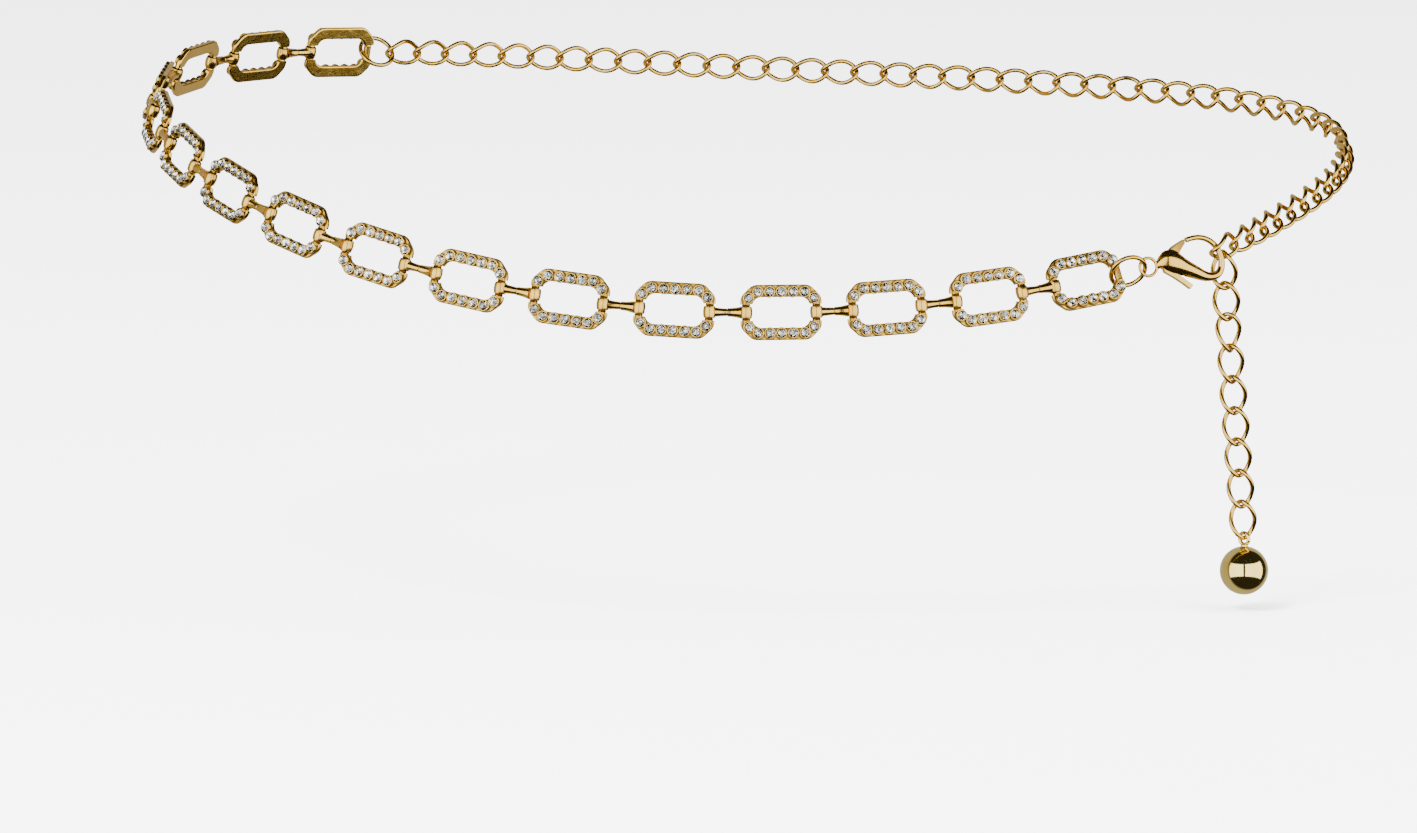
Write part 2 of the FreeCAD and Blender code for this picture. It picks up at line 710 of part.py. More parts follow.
# Ball drop on the last tail link, its eye square to the wire that it hangs on
last = tail_seats[-1]
wire_point = world(last, x=size("curb_long"))
twist = math.radians(size("curb_twist"))
wire_line = heading(last, y=math.cos(twist), z=math.sin(twist))
wire_line = unit(V(wire_line.x, wire_line.y, 0))
drop_reach = size("drop_eye_radius") - size("drop_eye_wire") - size("curb_wire") - size("drop_play")
eye_centre = wire_point + V(0, 0, -1) * drop_reach
across = V(0, 0, 1).cross(wire_line)
drop_turn = FreeCAD.Rotation(across, wire_line * -1, V(0, 0, 1), "XYZ")
show("ball_drop", ball_master, FreeCAD.Placement(eye_centre, drop_turn))

doc.recompute()

# Facts that the joints use
pivot = world(clasp_seat, x=size("pivot_x"), y=size("pivot_y"))
print("loop length", round(LOOP_LENGTH, 1), "curb pitch", round(curb_step, 3))
print("lever pivot", [round(value, 3) for value in pivot],
      "axis", [round(value, 4) for value in heading(clasp_seat, z=-1)])
print("drop pivot", [round(value, 3) for value in wire_point],
      "axis", [round(value, 4) for value in wire_line])

# Checks and export
for item in doc.Objects:
    if "Invalid" in item.State or "Error" in item.State:
        raise RuntimeError(f"{item.Name} is {item.State}")
for item in nodes:
    if item.Shape.isNull() or not item.Shape.isValid():
        raise RuntimeError(f"{item.Label} has no valid shape")

os.makedirs("parts", exist_ok=True)
for item in nodes:
    item.Shape.exportStep(f"parts/{item.Label}.step")
    print(item.Label, len(item.Shape.Solids), round(item.Shape.Volume, 2))
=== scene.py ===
# %% [markdown]
# # A rhinestone waist chain
#
# The chain hangs round the hips as a closed loop. In front it is cast links set with
# crystals, joined by dog bones; a lobster clasp closes it at the right, and a curb chain
# runs on round the back and hangs down with a ball on its end. The metal has the frame's
# exact places, and this lesson dresses it: every piece is a surface worked out from arrays.

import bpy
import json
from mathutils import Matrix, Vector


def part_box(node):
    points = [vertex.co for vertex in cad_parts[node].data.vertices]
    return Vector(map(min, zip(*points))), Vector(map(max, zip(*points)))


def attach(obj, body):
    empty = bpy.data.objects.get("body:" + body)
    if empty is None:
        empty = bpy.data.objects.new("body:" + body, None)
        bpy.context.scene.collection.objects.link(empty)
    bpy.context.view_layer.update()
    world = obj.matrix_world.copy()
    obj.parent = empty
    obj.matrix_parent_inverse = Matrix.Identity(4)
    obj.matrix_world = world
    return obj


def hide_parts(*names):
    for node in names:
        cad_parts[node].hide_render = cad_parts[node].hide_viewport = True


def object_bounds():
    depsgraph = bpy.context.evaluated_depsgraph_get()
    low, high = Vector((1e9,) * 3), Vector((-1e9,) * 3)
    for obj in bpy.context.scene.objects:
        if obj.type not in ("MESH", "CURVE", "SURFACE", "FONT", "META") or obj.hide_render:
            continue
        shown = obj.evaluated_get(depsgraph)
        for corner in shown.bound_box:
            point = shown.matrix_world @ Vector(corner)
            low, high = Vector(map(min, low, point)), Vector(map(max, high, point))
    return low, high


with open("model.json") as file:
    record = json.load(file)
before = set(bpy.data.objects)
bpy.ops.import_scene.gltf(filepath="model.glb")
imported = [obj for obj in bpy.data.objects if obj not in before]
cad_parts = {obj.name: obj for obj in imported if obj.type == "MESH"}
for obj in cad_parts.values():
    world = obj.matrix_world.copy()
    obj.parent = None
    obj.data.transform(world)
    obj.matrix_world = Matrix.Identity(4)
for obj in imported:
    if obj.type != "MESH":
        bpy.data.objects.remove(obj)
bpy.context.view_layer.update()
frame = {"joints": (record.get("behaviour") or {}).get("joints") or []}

# %% [markdown]
# ## Tools
#
# A jewel is measured in millimetres, so the shapes below are in millimetres, and they
# become metres in one place, where a mesh is written. Every object joins the scene by the
# same three lines, so they stand here too.

# %% Tools
import json
import math

import bpy
import numpy as np

MM = 0.001


def unit(vectors):
    """Each vector divided by its length."""
    return vectors / np.linalg.norm(vectors, axis=-1, keepdims=True)


def mesh_of(name, shape, scale=MM):
    """A shape's points, scaled to metres, and its faces as a mesh."""
    mesh = bpy.data.meshes.new(name)
    faces = [row for block in shape.faces for row in block.tolist()]
    mesh.from_pydata(shape.points * scale, [], faces)
    return mesh


def shown(name, data):
    """A new object in the scene that holds a mesh, a lens or a light."""
    made = bpy.data.objects.new(name, data)
    bpy.context.scene.collection.objects.link(made)
    return made


def raised(flat_points, height):
    """Flat points (rows, columns, 2) with a third coordinate, spread from their heights."""
    spread = np.broadcast_to(height, flat_points.shape[:2] + (1,))
    return np.concatenate([flat_points, spread], axis=-1)


# %% [markdown]
# ## Shapes
#
# A shape is an array of points and blocks of faces. It also keeps a painted shade value
# for each point: how much darker it is painted, highest in hollows where shade falls.
# Copies at many places are one matrix product, so a whole chain costs no loop.

# %% A shape, its copies and its sum
class Shape:
    """Points (n, 3), blocks of faces (each faces x corners), and the painted shade of every point."""

    def __init__(self, points, faces, painted_shade=0.0):
        self.points = np.reshape(points, (-1, 3))
        self.faces = faces
        # Painted shade: how much darker each point's colour is painted.
        self.painted_shade = np.ravel(np.broadcast_to(painted_shade, len(self.points)))

    def __add__(self, other):
        shifted = [block + len(self.points) for block in other.faces]
        return Shape(np.vstack([self.points, other.points]), self.faces + shifted,
                     np.concatenate([self.painted_shade, other.painted_shade]))

    def at(self, seats):
        """Copies at 4 x 4 seats: each point is turned by the seat's axes, then moved to its origin."""
        seats = np.reshape(seats, (-1, 4, 4))
        points = np.einsum("sij,pj->spi", seats[:, :3, :3], self.points) + seats[:, None, :3, 3]
        shifts = np.arange(len(seats))[:, None, None] * len(self.points)
        faces = [np.reshape(block + shifts, (-1, block.shape[1])) for block in self.faces]
        return Shape(points, faces, np.tile(self.painted_shade, len(seats)))

    def volume(self):
        """A sixth of the sum of the boxes that each face's fan of triangles spans with the origin."""
        total = 0.0
        for block in self.faces:
            corners = self.points[block]
            fans = np.cross(corners[:, 1:-1], corners[:, 2:]).sum(1)
            total += np.sum(corners[:, 0] * fans) / 6
        return total


# %% Skins over grids
CORE = 0.02  # radius at which a turned face ends, just short of its axis


def skin(grid, closed_rows=False, painted_shade=0.0):
    """Faces between neighbours of a grid (rows, columns, 3). Columns close on themselves, rows close
    too or end in a flat cap, and a shape that comes out with negative volume is turned outside in."""
    number = np.arange(grid.shape[0] * grid.shape[1]).reshape(grid.shape[:2])
    beside = np.roll(number, -1, axis=1)
    last = None if closed_rows else -1
    corners = [number, beside, np.roll(beside, -1, axis=0), np.roll(number, -1, axis=0)]
    faces = [np.stack(corners, axis=-1)[:last].reshape(-1, 4)]
    if not closed_rows:
        faces += [number[:1, ::-1], number[-1:]]
    shape = Shape(grid, faces, np.ravel(painted_shade) if np.ndim(painted_shade) else painted_shade)
    if shape.volume() < 0:
        shape.faces = [block[:, ::-1] for block in faces]
    return shape


def lathe(profile, sides, closed=False, painted_shade=0.0):
    """A profile of (radius, height) rows turned about Z: x = r cos a, y = r sin a, z = h."""
    radius, height = np.asarray(profile, float).T[:, :, None]
    angle = np.linspace(0, 2 * np.pi, sides, endpoint=False)
    grid = np.stack([radius * np.cos(angle), radius * np.sin(angle), height + 0 * angle], axis=-1)
    shade = np.repeat(painted_shade, sides) if np.ndim(painted_shade) else painted_shade
    return skin(grid, closed, shade)


def tube(path, outward, radius, sides, closed=True):
    """Wire along a path: at each step a circle between the outward direction and its square."""
    ends = np.roll(path, -1, 0) - np.roll(path, 1, 0) if closed else np.gradient(path, axis=0)
    along = unit(ends)
    outward = unit(outward - along * np.sum(outward * along, -1, keepdims=True))
    angle = np.linspace(0, 2 * np.pi, sides, endpoint=False)[None, :, None]
    ring = outward[:, None] * np.cos(angle) + np.cross(along, outward)[:, None] * np.sin(angle)
    return skin(path[:, None] + ring * np.reshape(radius, (-1, 1, 1)), closed)


def wire_ring(radius, wire, steps=72, sides=16):
    """A round wire ring about Z."""
    angle = np.linspace(0, 2 * np.pi, steps, endpoint=False)
    circle = np.stack([np.cos(angle), np.sin(angle), 0 * angle], axis=-1)
    return tube(circle * radius, circle, wire, sides)


# %% Seats
def placing(point, along, upward):
    """Seats with X along, Y as near upward as it can be, and Z square to both, facing outwards."""
    along = unit(np.asarray(along, float))
    upward = unit(upward - along * np.sum(upward * along, -1, keepdims=True))
    seat = np.zeros(along.shape[:-1] + (4, 4))
    seat[..., :3, 0] = along
    seat[..., :3, 1] = upward
    seat[..., :3, 2] = np.cross(along, upward)
    seat[..., :3, 3] = point
    seat[..., 3, 3] = 1
    return seat


def turned(degrees, axis):
    """Seats at the origin, turned about X (0), Y (1) or Z (2)."""
    angle = np.radians(np.asarray(degrees, float))
    second, third = (axis + 1) % 3, (axis + 2) % 3
    seat = np.zeros(angle.shape + (4, 4))
    seat[..., axis, axis] = 1
    seat[..., 3, 3] = 1
    seat[..., second, second] = np.cos(angle)
    seat[..., third, third] = np.cos(angle)
    seat[..., third, second] = np.sin(angle)
    seat[..., second, third] = -np.sin(angle)
    return seat


def moved(x=0.0, y=0.0, z=0.0):
    """A seat that is only moved."""
    seat = np.eye(4)
    seat[:3, 3] = x, y, z
    return seat


def point_in(seat, x=0.0, y=0.0, z=0.0):
    return (seat @ np.array([x, y, z, 1.0]))[..., :3]


# %% [markdown]
# ## The loop
#
# Seen from above the loop is four quarter ellipses, with a small bulge where the stiff
# clasp can't follow the hips. It hangs low in front and rises to the back, as a slow wave
# of its angle. Places on it are stations, in millimetres of arc from the front middle.

# %% The loop
LOOP_MIDDLE = np.array([-7.9, 13.1, 3.7])
HALF_LEFT, HALF_RIGHT = 148.7, 165.8
HALF_FRONT, HALF_BACK = 124.8, 98.5
FRONT_DROP, SIDE_DROP, SAG, SWAY = 19.6, 6.2, 7.3, 0.9
BULGE, BULGE_ANGLE, BULGE_SPREAD = 11.0, 50.0, 9.0
SIDE_LEAN, FRONT_LEAN = np.radians([22.0, 8.0])


def loop_point(angle):
    """Quarter ellipses in plan, less a bell-shaped bulge, with two cosine waves in height."""
    across, ahead = np.sin(angle), np.cos(angle)
    half_wide = np.where(across < 0, HALF_LEFT, HALF_RIGHT)
    half_deep = np.where(ahead > 0, HALF_FRONT, HALF_BACK)
    off_bulge = (np.degrees(angle) + 180) % 360 - 180 - BULGE_ANGLE
    bulge = BULGE * np.exp(-((off_bulge / BULGE_SPREAD) ** 2))
    rise = -FRONT_DROP * ahead - SIDE_DROP * across
    rise = rise - SAG * np.cos(2 * angle) + SWAY * np.sin(2 * angle)
    return LOOP_MIDDLE + np.stack([half_wide * across, -half_deep * ahead - bulge, rise], axis=-1)


loop_angles = np.linspace(0, 2 * np.pi, 7201)
loop_steps = np.linalg.norm(np.diff(loop_point(loop_angles), axis=0), axis=1)
loop_arc = np.concatenate([[0], np.cumsum(loop_steps)])
LOOP_LENGTH = loop_arc[-1]


def angle_at(station):
    return np.interp(np.mod(station, LOOP_LENGTH), loop_arc, loop_angles)


def hips_up(angle):
    """Up along the hips, which lean inwards as they rise."""
    rise = np.ones_like(angle)
    return np.stack([-np.tan(SIDE_LEAN) * np.sin(angle), np.tan(FRONT_LEAN) * np.cos(angle), rise], -1)


def seats_on_loop(station, lean=0.0):
    """Seats on the loop, along the chord of a millimetre each way, leaned about the chain."""
    station = np.asarray(station, float)
    chord = loop_point(angle_at(station + 1)) - loop_point(angle_at(station - 1))
    angle = angle_at(station)
    return placing(loop_point(angle), chord, hips_up(angle)) @ turned(lean + 0 * station, 0)


print("loop length", round(LOOP_LENGTH, 1), "mm")

# %% [markdown]
# ## Where everything sits
#
# Sixteen cast links run from behind the left hip to the clasp. Rings are drawn tight at both
# ends, the clasp hangs between its ring and the hooked curb link, and the rest of the curb
# chain fills the loop.

# %% Seats of the cast links, the dog bones and the rings
LINKS, LINK_PITCH, LAST_STATION, LAST_LEAN = 16, 27.0, 96.9, 13.0
BAR_OFFSET, BAR_RADIUS = 8.9, 1.0
RING_RADIUS, RING_WIRE, RING_TILT, RING_SLACK = 4.6, 0.6, 55.0, 0.15
RING_HOLD = RING_RADIUS - RING_WIRE - RING_SLACK
RING_REACH = RING_HOLD - BAR_RADIUS

link_stations = LAST_STATION - np.arange(LINKS - 1, -1, -1) * LINK_PITCH
link_leans = np.where(np.arange(LINKS) == LINKS - 1, -LAST_LEAN, 0.0)
link_seats = seats_on_loop(link_stations, link_leans)
starts = point_in(link_seats[:-1], x=BAR_OFFSET)
finishes = point_in(link_seats[1:], x=-BAR_OFFSET)
both_up = link_seats[:-1, :3, 1] + link_seats[1:, :3, 1]
bone_seats = placing((starts + finishes) / 2, finishes - starts, both_up)


def jump_ring_seat(link_seat, side, target):
    """Seat of a ring on a link's end bar, and the line that it is drawn along towards a target."""
    bar = point_in(link_seat, x=side * BAR_OFFSET)
    away = unit(target - bar)
    chain = placing(bar + away * RING_REACH, away * side, link_seat[:3, 1])
    return chain @ turned(RING_TILT, 0), away


CURB_LONG, CURB_WIDE, CURB_WIRE, CURB_TWIST = 4.75, 3.05, 0.6, np.radians(-45.0)
clasp_station = LAST_STATION + BAR_OFFSET + 2 * RING_RADIUS
CURB_HOLD = RING_HOLD - CURB_WIRE + CURB_LONG
curb_start = link_stations[0] - BAR_OFFSET - RING_REACH - CURB_HOLD
front_ring, front_line = jump_ring_seat(link_seats[-1], 1, loop_point(angle_at(clasp_station)))
back_ring, back_line = jump_ring_seat(link_seats[0], -1, loop_point(angle_at(curb_start)))

# %% Seats of the clasp and the curb chain
EYE_RADIUS, EYE_WIRE, EYE_SLACK = 2.3, 0.42, 0.42
HOOKED_STATION, HOOKED_TURN, HOOK_GRIP, SETTLING = 136.9, 31.0, 3.0, 3
HOOK_CONTACT = np.array([18.9, 5.5])
CURB_LINKS, TAIL_LINKS, TAIL_PITCH, TAIL_SLACK = 50, 9, 8.1, 0.25
TAIL_LEAN = np.radians(4.7)
TAIL_TURNS = np.array([20.0, 0.0, -25.0, -15.0, 0.0, 0.0, 0.0, 0.0, 0.0])

eye_hold = RING_RADIUS - RING_WIRE - EYE_SLACK - EYE_WIRE
clasp_eye = front_ring[:3, 3] + front_line * (eye_hold + EYE_RADIUS)
hooked = seats_on_loop(HOOKED_STATION, HOOKED_TURN)
reach = unit(point_in(hooked, x=-HOOK_GRIP) - clasp_eye)
seen_from = np.array([0, -np.cos(FRONT_LEAN), np.sin(FRONT_LEAN)])
outward = unit(seen_from - reach * (seen_from @ reach))
contact_turn = -np.degrees(np.arctan2(HOOK_CONTACT[1], HOOK_CONTACT[0]))
clasp_seat = placing(clasp_eye, reach, np.cross(outward, reach)) @ turned(contact_turn, 2)

curb_end = curb_start + LOOP_LENGTH
curb_step = (curb_end - HOOKED_STATION) / (CURB_LINKS - 1)
order = np.arange(CURB_LINKS - 1)
curb_seats = seats_on_loop(HOOKED_STATION + curb_step * order,
                           HOOKED_TURN * np.maximum(0, 1 - order / SETTLING))
last_curb = back_ring[:3, 3] + back_line * CURB_HOLD
last_seat = placing(last_curb, -back_line, hips_up(angle_at(curb_end)))
curb_seats = np.concatenate([curb_seats, last_seat[None]])

down = np.array([np.sin(TAIL_LEAN), 0, -np.cos(TAIL_LEAN)])
tail_first = point_in(hooked, y=-CURB_WIDE) + down * (CURB_LONG - 2 * CURB_WIRE - TAIL_SLACK)
tail_points = tail_first + np.outer(np.arange(TAIL_LINKS) * TAIL_PITCH, down)
tail_down = np.broadcast_to(down, tail_points.shape)
tail_seats = placing(tail_points, tail_down, np.array([1.0, 0, 0])) @ turned(TAIL_TURNS, 0)

# %% Seat of the ball drop, and a test of the seats against the frame's joints
DROP_EYE, DROP_WIRE, DROP_PLAY, BALL_RADIUS = 1.5, 0.5, 0.2, 6.25
PIVOT = np.array([5.8, 1.5])

hanger = point_in(tail_seats[-1], x=CURB_LONG)
wire_line = tail_seats[-1][:3, :3] @ np.array([0, np.cos(CURB_TWIST), np.sin(CURB_TWIST)])
wire_line = unit(wire_line * np.array([1, 1, 0]))
drop_eye = hanger - np.array([0, 0, DROP_EYE - DROP_WIRE - CURB_WIRE - DROP_PLAY])
drop_seat = placing(drop_eye, np.cross([0, 0, 1], wire_line), -wire_line)
pivots = {joint["name"]: np.array(joint["pos_m"]) / MM for joint in frame["joints"]}
lever_miss = np.linalg.norm(point_in(clasp_seat, *PIVOT) - pivots["lever_hinge"])
drop_miss = np.linalg.norm(hanger - pivots["drop_swing"])
print("seats miss the frame's pivots by", round(lever_miss, 4), "and", round(drop_miss, 4), "mm")

# %% [markdown]
# ## Finishes
#
# Each finish is a Principled shader whose colour, roughness and bump come from noise in
# Object coordinates. Maths on sockets is written as plain expressions, and every other
# node comes from one method, so a finish reads like a recipe.

# %% Shader maths
class Field:
    """A socket whose value varies over the surface, and that plus, minus and the rest work on."""

    def __init__(self, finish, socket):
        self.finish = finish
        self.socket = socket

    def maths(self, operation, *values):
        return self.finish.node("ShaderNodeMath", {"operation": operation}, *values)

    def __add__(self, other):
        return self.maths("ADD", self, other)

    def __sub__(self, other):
        return self.maths("SUBTRACT", self, other)

    def __rsub__(self, other):
        return self.maths("SUBTRACT", other, self)

    def __mul__(self, other):
        return self.maths("MULTIPLY", self, other)

    def __truediv__(self, other):
        return self.maths("DIVIDE", self, other)

    __radd__ = __add__
    __rmul__ = __mul__

    def __abs__(self):
        return self.maths("ABSOLUTE", self)

    def clipped(self):
        return self.finish.node("ShaderNodeClamp", {}, self, 0.0, 1.0)


class Finish:
    """A material whose nodes come from one method: a kind, its settings, then its inputs in order
    or by name."""

    def __init__(self, name, **constants):
        self.material = bpy.data.materials.new(name)
        self.material.use_nodes = True
        self.nodes = self.material.node_tree.nodes
        self.links = self.material.node_tree.links
        self.shader = self.nodes["Principled BSDF"]
        for socket, value in constants.items():
            self.shader.inputs[socket.replace("_", " ")].default_value = value

    def node(self, kind, settings, *inputs, output=0, **named):
        made = self.nodes.new(kind)
        for setting, value in settings.items():
            setattr(made, setting, value)
        for socket, value in list(enumerate(inputs)) + list(named.items()):
            self.feed(made.inputs[socket], value)
        return Field(self, made.outputs[output])

    def feed(self, socket, value):
        if isinstance(value, Field):
            self.links.new(value.socket, socket)
        else:
            socket.default_value = value

    def shade(self, **inputs):
        for socket, value in inputs.items():
            self.feed(self.shader.inputs[socket.replace("_", " ")], value)

    def place(self):
        return self.node("ShaderNodeTexCoord", {}, output="Object")

    def noise(self, scale, detail=3.0):
        return self.node("ShaderNodeTexNoise", {}, Vector=self.place(), Scale=scale, Detail=detail)

    def blend(self, factor, first, second):
        """A Mix node for colours: socket 0 is the factor, 6 and 7 are the colours, output 2 the mix."""
        mixed = self.node("ShaderNodeMix", {"data_type": "RGBA"}, factor, output=2)
        sockets = mixed.socket.node.inputs
        self.feed(sockets[6], first)
        self.feed(sockets[7], second)
        return mixed

    def bump(self, height, strength, distance):
        return self.node("ShaderNodeBump", {}, Height=height, Strength=strength, Distance=distance)


# %% [markdown]
# ### Polished gold plate
#
# Plated casting alloy is pale yellow, warmer where the plate is thick. Where a piece's
# painted shade value is high, in the valleys between the cups and other hollows, the gold is
# painted dark as painted shade. A very low bump in two sizes keeps the reflections from
# being as perfect as glass.

# %% Gold
PALE_GOLD = (0.74, 0.5, 0.11, 1)
WARM_GOLD = (0.56, 0.31, 0.045, 1)
LEMON_GOLD = (0.97, 0.82, 0.3, 1)
PAINTED_SHADE_BROWN = (0.05, 0.024, 0.005, 1)
CLOUD_SCALE, GRAIN_SCALE, RIPPLE_SCALE = 160, 2600, 420
CLOUD_GAIN, CLOUD_START, SHADE_LEAST, SHADE_GRAIN = 1.6, 0.3, 0.6, 0.5
ROUGH_GRAIN, ROUGH_IN_SHADE, GRAIN_HEIGHT = 0.07, 0.22, 0.15


def gold_finish(name, pale, warm_gold, polish, ripple):
    """A pale gold that drifts to a warmer one, painted darker and roughened by the painted shade
    attribute.
    """
    gold = Finish(name, Metallic=1.0)
    cloud = gold.noise(CLOUD_SCALE)
    grain = gold.noise(GRAIN_SCALE, 2.0)
    painted_shade = gold.node("ShaderNodeAttribute", {"attribute_name": "painted_shade"}, output="Fac")
    warm = (cloud * CLOUD_GAIN - CLOUD_START).clipped()
    plate = gold.blend(warm, pale, warm_gold)
    # Painted shade: the painted shade attribute blends the plate towards a dark colour.
    shade_amount = (painted_shade * (SHADE_LEAST + SHADE_GRAIN * grain)).clipped()
    colour = gold.blend(shade_amount, plate, PAINTED_SHADE_BROWN)
    roughness = polish + ROUGH_GRAIN * grain + ROUGH_IN_SHADE * painted_shade
    height = gold.noise(RIPPLE_SCALE, 2.0) + GRAIN_HEIGHT * grain
    gold.shade(Base_Color=colour, Roughness=roughness, Normal=gold.bump(height, 1.0, ripple))
    return gold.material


cast_gold = gold_finish("cast_gold", PALE_GOLD, WARM_GOLD, 0.12, 0.00004)
wire_gold = gold_finish("wire_gold", PALE_GOLD, WARM_GOLD, 0.1, 0.00002)
ball_gold = gold_finish("ball_gold", LEMON_GOLD, PALE_GOLD, 0.04, 0.000004)

# %% [markdown]
# ### Crystals
#
# A rhinestone is clear glass above and silver foil below. The foil is what throws the
# light back, so each stone has both: glass on the crown, a mirror on the pavilion. Foil is
# never even: it has grey patches. Towards the stone's point it is painted dark, as painted shade.

# %% Crystal and foil
CLEAR, ICE_BLUE = (1, 1, 1, 1), (0.93, 0.96, 0.98, 1)
BRIGHT_FOIL, GREY_FOIL, POINT_SHADE_FOIL = (0.97, 0.97, 0.95, 1), (0.2, 0.2, 0.18, 1), (0.02, 0.02, 0.018, 1)
SMEAR_SCALE, FLECK_SCALE, FLECK_GAIN, FLECK_START = 900, 1400, 9.0, 4.0
POINT_SHADE_GAIN, POINT_SHADE_START = 1.6, 0.5

crystal = Finish("clear_crystal", IOR=1.58, Transmission_Weight=1.0)
smear = crystal.noise(SMEAR_SCALE)
crystal.shade(Base_Color=crystal.blend(smear, CLEAR, ICE_BLUE), Roughness=0.01 * smear)

foil = Finish("silver_foil", Metallic=1.0)
flecks = (foil.noise(FLECK_SCALE, 2.0) * FLECK_GAIN - FLECK_START).clipped()
at_point = foil.node("ShaderNodeAttribute", {"attribute_name": "painted_shade"}, output="Fac")
silver = foil.blend(flecks, BRIGHT_FOIL, GREY_FOIL)
# Painted shade: the foil is painted dark towards the stone's point.
point_shade = (POINT_SHADE_GAIN * at_point - POINT_SHADE_START).clipped()
foil.shade(Base_Color=foil.blend(point_shade, silver, POINT_SHADE_FOIL), Roughness=0.03 + 0.08 * flecks)

# %% [markdown]
# ## Writing a piece
#
# A piece takes a shape, becomes a mesh in metres, rides on its body and stands for the
# frame's nodes. Faces are smooth, and edges past a given angle stay crisp.

# %% Write a piece
CRISP_ANGLE = 38.0


def piece(name, shape, nodes, finishes, body="chain", crisp=CRISP_ANGLE,
          finish_of_face=None):
    """A shape's mesh with its painted shade values and its finishes, on a body and in place of its
    nodes.
    """
    mesh = mesh_of(name, shape)
    mesh.attributes.new("painted_shade", "FLOAT", "POINT").data.foreach_set("value", shape.painted_shade)
    mesh.shade_smooth()
    mesh.set_sharp_from_angle(angle=math.radians(crisp))
    for finish in finishes:
        mesh.materials.append(finish)
    if finish_of_face is not None:
        mesh.polygons.foreach_set("material_index", finish_of_face)
    mesh.update()
    made = shown(name, mesh)
    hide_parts(*nodes)
    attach(made, body)
    return made


def triangles(shape):
    """How many triangles a shape's faces make."""
    return sum(len(block) * (block.shape[1] - 2) for block in shape.faces)


def box_miss(made, node):
    """Largest difference in millimetres between a piece's box and the box of its node."""
    low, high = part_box(node)
    points = np.array([corner for corner in made.bound_box])
    return max(np.abs(points.min(0) - low).max(), np.abs(points.max(0) - high).max()) / MM


# %% [markdown]
# ## The cast links
#
# A link is a flat plate like an eight-sided oval with a round-cornered opening, fourteen
# cups on it all round, and a bare round bar at each end where a dog bone holds. The plate
# could be an extruded outline, but then its edges are razor sharp. Here each half is a
# small rounded section carried from bar to bar, between the inner and the outer outline.

# %% Outlines with rounded corners
def rounded(corners, radius, steps):
    """Outline of a polygon whose corners are arcs that touch both sides, blended by their angle."""
    corners = np.asarray(corners, float)
    before = unit(np.roll(corners, 1, 0) - corners)
    after = unit(np.roll(corners, -1, 0) - corners)
    half = np.arccos(np.sum(before * after, -1))[:, None] / 2
    centre = corners + unit(before + after) * radius / np.sin(half)
    first = corners + before * radius / np.tan(half) - centre
    second = corners + after * radius / np.tan(half) - centre
    spread = (np.pi - 2 * half)[:, None]
    share = np.linspace(0, 1, steps)[None, :, None]
    bent = np.sin((1 - share) * spread) * first[:, None] + np.sin(share * spread) * second[:, None]
    return (centre[:, None] + bent / np.sin(spread)).reshape(-1, 2)


def spaced(path, count):
    """Points at even steps of length along an open path."""
    length = np.concatenate([[0], np.cumsum(np.linalg.norm(np.diff(path, axis=0), axis=1))])
    at = np.linspace(0, length[-1], count)
    return np.stack([np.interp(at, length, column) for column in path.T], axis=-1)


LINK_LONG, LINK_HIGH, LINK_CHAMFER, LINK_ROUND = 20.6, 14.0, 3.1, 3.0
OPEN_LONG, OPEN_HIGH, OPEN_ROUND = 14.6, 7.7, 2.4
NOTCH_HIGH, PLATE_LOW, PLATE_TOP, EDGE_ROUND = 4.2, -1.0, 0.2, 0.32
CUP_RADIUS, STONE_PITCH, ROW_OFFSET, ROW_STONES = 1.5, 2.95, 5.2, 5
CORNER_ALONG, CORNER_UP = 8.3, 3.65
LINK_ROUND_STEPS, OPEN_ROUND_STEPS, DENSE_STEPS, BAND_STEPS = 14, 20, 4000, 97
EDGE_STEPS, FLAT_STEPS = 4, 6
SHADE_FULL, SHADE_FADE, VALLEY_SHADE = 1.4, 0.4, 0.95

row = (np.arange(ROW_STONES) - (ROW_STONES - 1) / 2) * STONE_PITCH
upper_spots = [(along, ROW_OFFSET) for along in row]
upper_spots += [(CORNER_ALONG, CORNER_UP), (-CORNER_ALONG, CORNER_UP)]
stone_spots = np.array(upper_spots + [(along, -across) for along, across in upper_spots])


def upper_half(outline):
    """The part of an outline above the notch, evenly spaced from the right end round to the left."""
    dense = spaced(np.vstack([outline, outline[:1]]), DENSE_STEPS)
    start = np.argmin(dense[:, 1] - 0.001 * dense[:, 0])
    dense = np.roll(dense, -start, axis=0)
    path = spaced(dense[dense[:, 1] >= NOTCH_HIGH / 2], BAND_STEPS)
    path[[0, -1], 1] = NOTCH_HIGH / 2
    return path


def oval_outlines():
    """The plate's outer outline and its opening."""
    long, high = LINK_LONG / 2, LINK_HIGH / 2
    cut_long, cut_high = long - LINK_CHAMFER, high - LINK_CHAMFER
    right = [(cut_long, -high), (long, -cut_high), (long, cut_high), (cut_long, high)]
    left = [(-across, -up) for across, up in right]
    window = np.array([(1, -1), (1, 1), (-1, 1), (-1, -1)]) * (OPEN_LONG / 2, OPEN_HIGH / 2)
    outer = rounded(right + left, LINK_ROUND, LINK_ROUND_STEPS)
    return outer, rounded(window, OPEN_ROUND, OPEN_ROUND_STEPS)


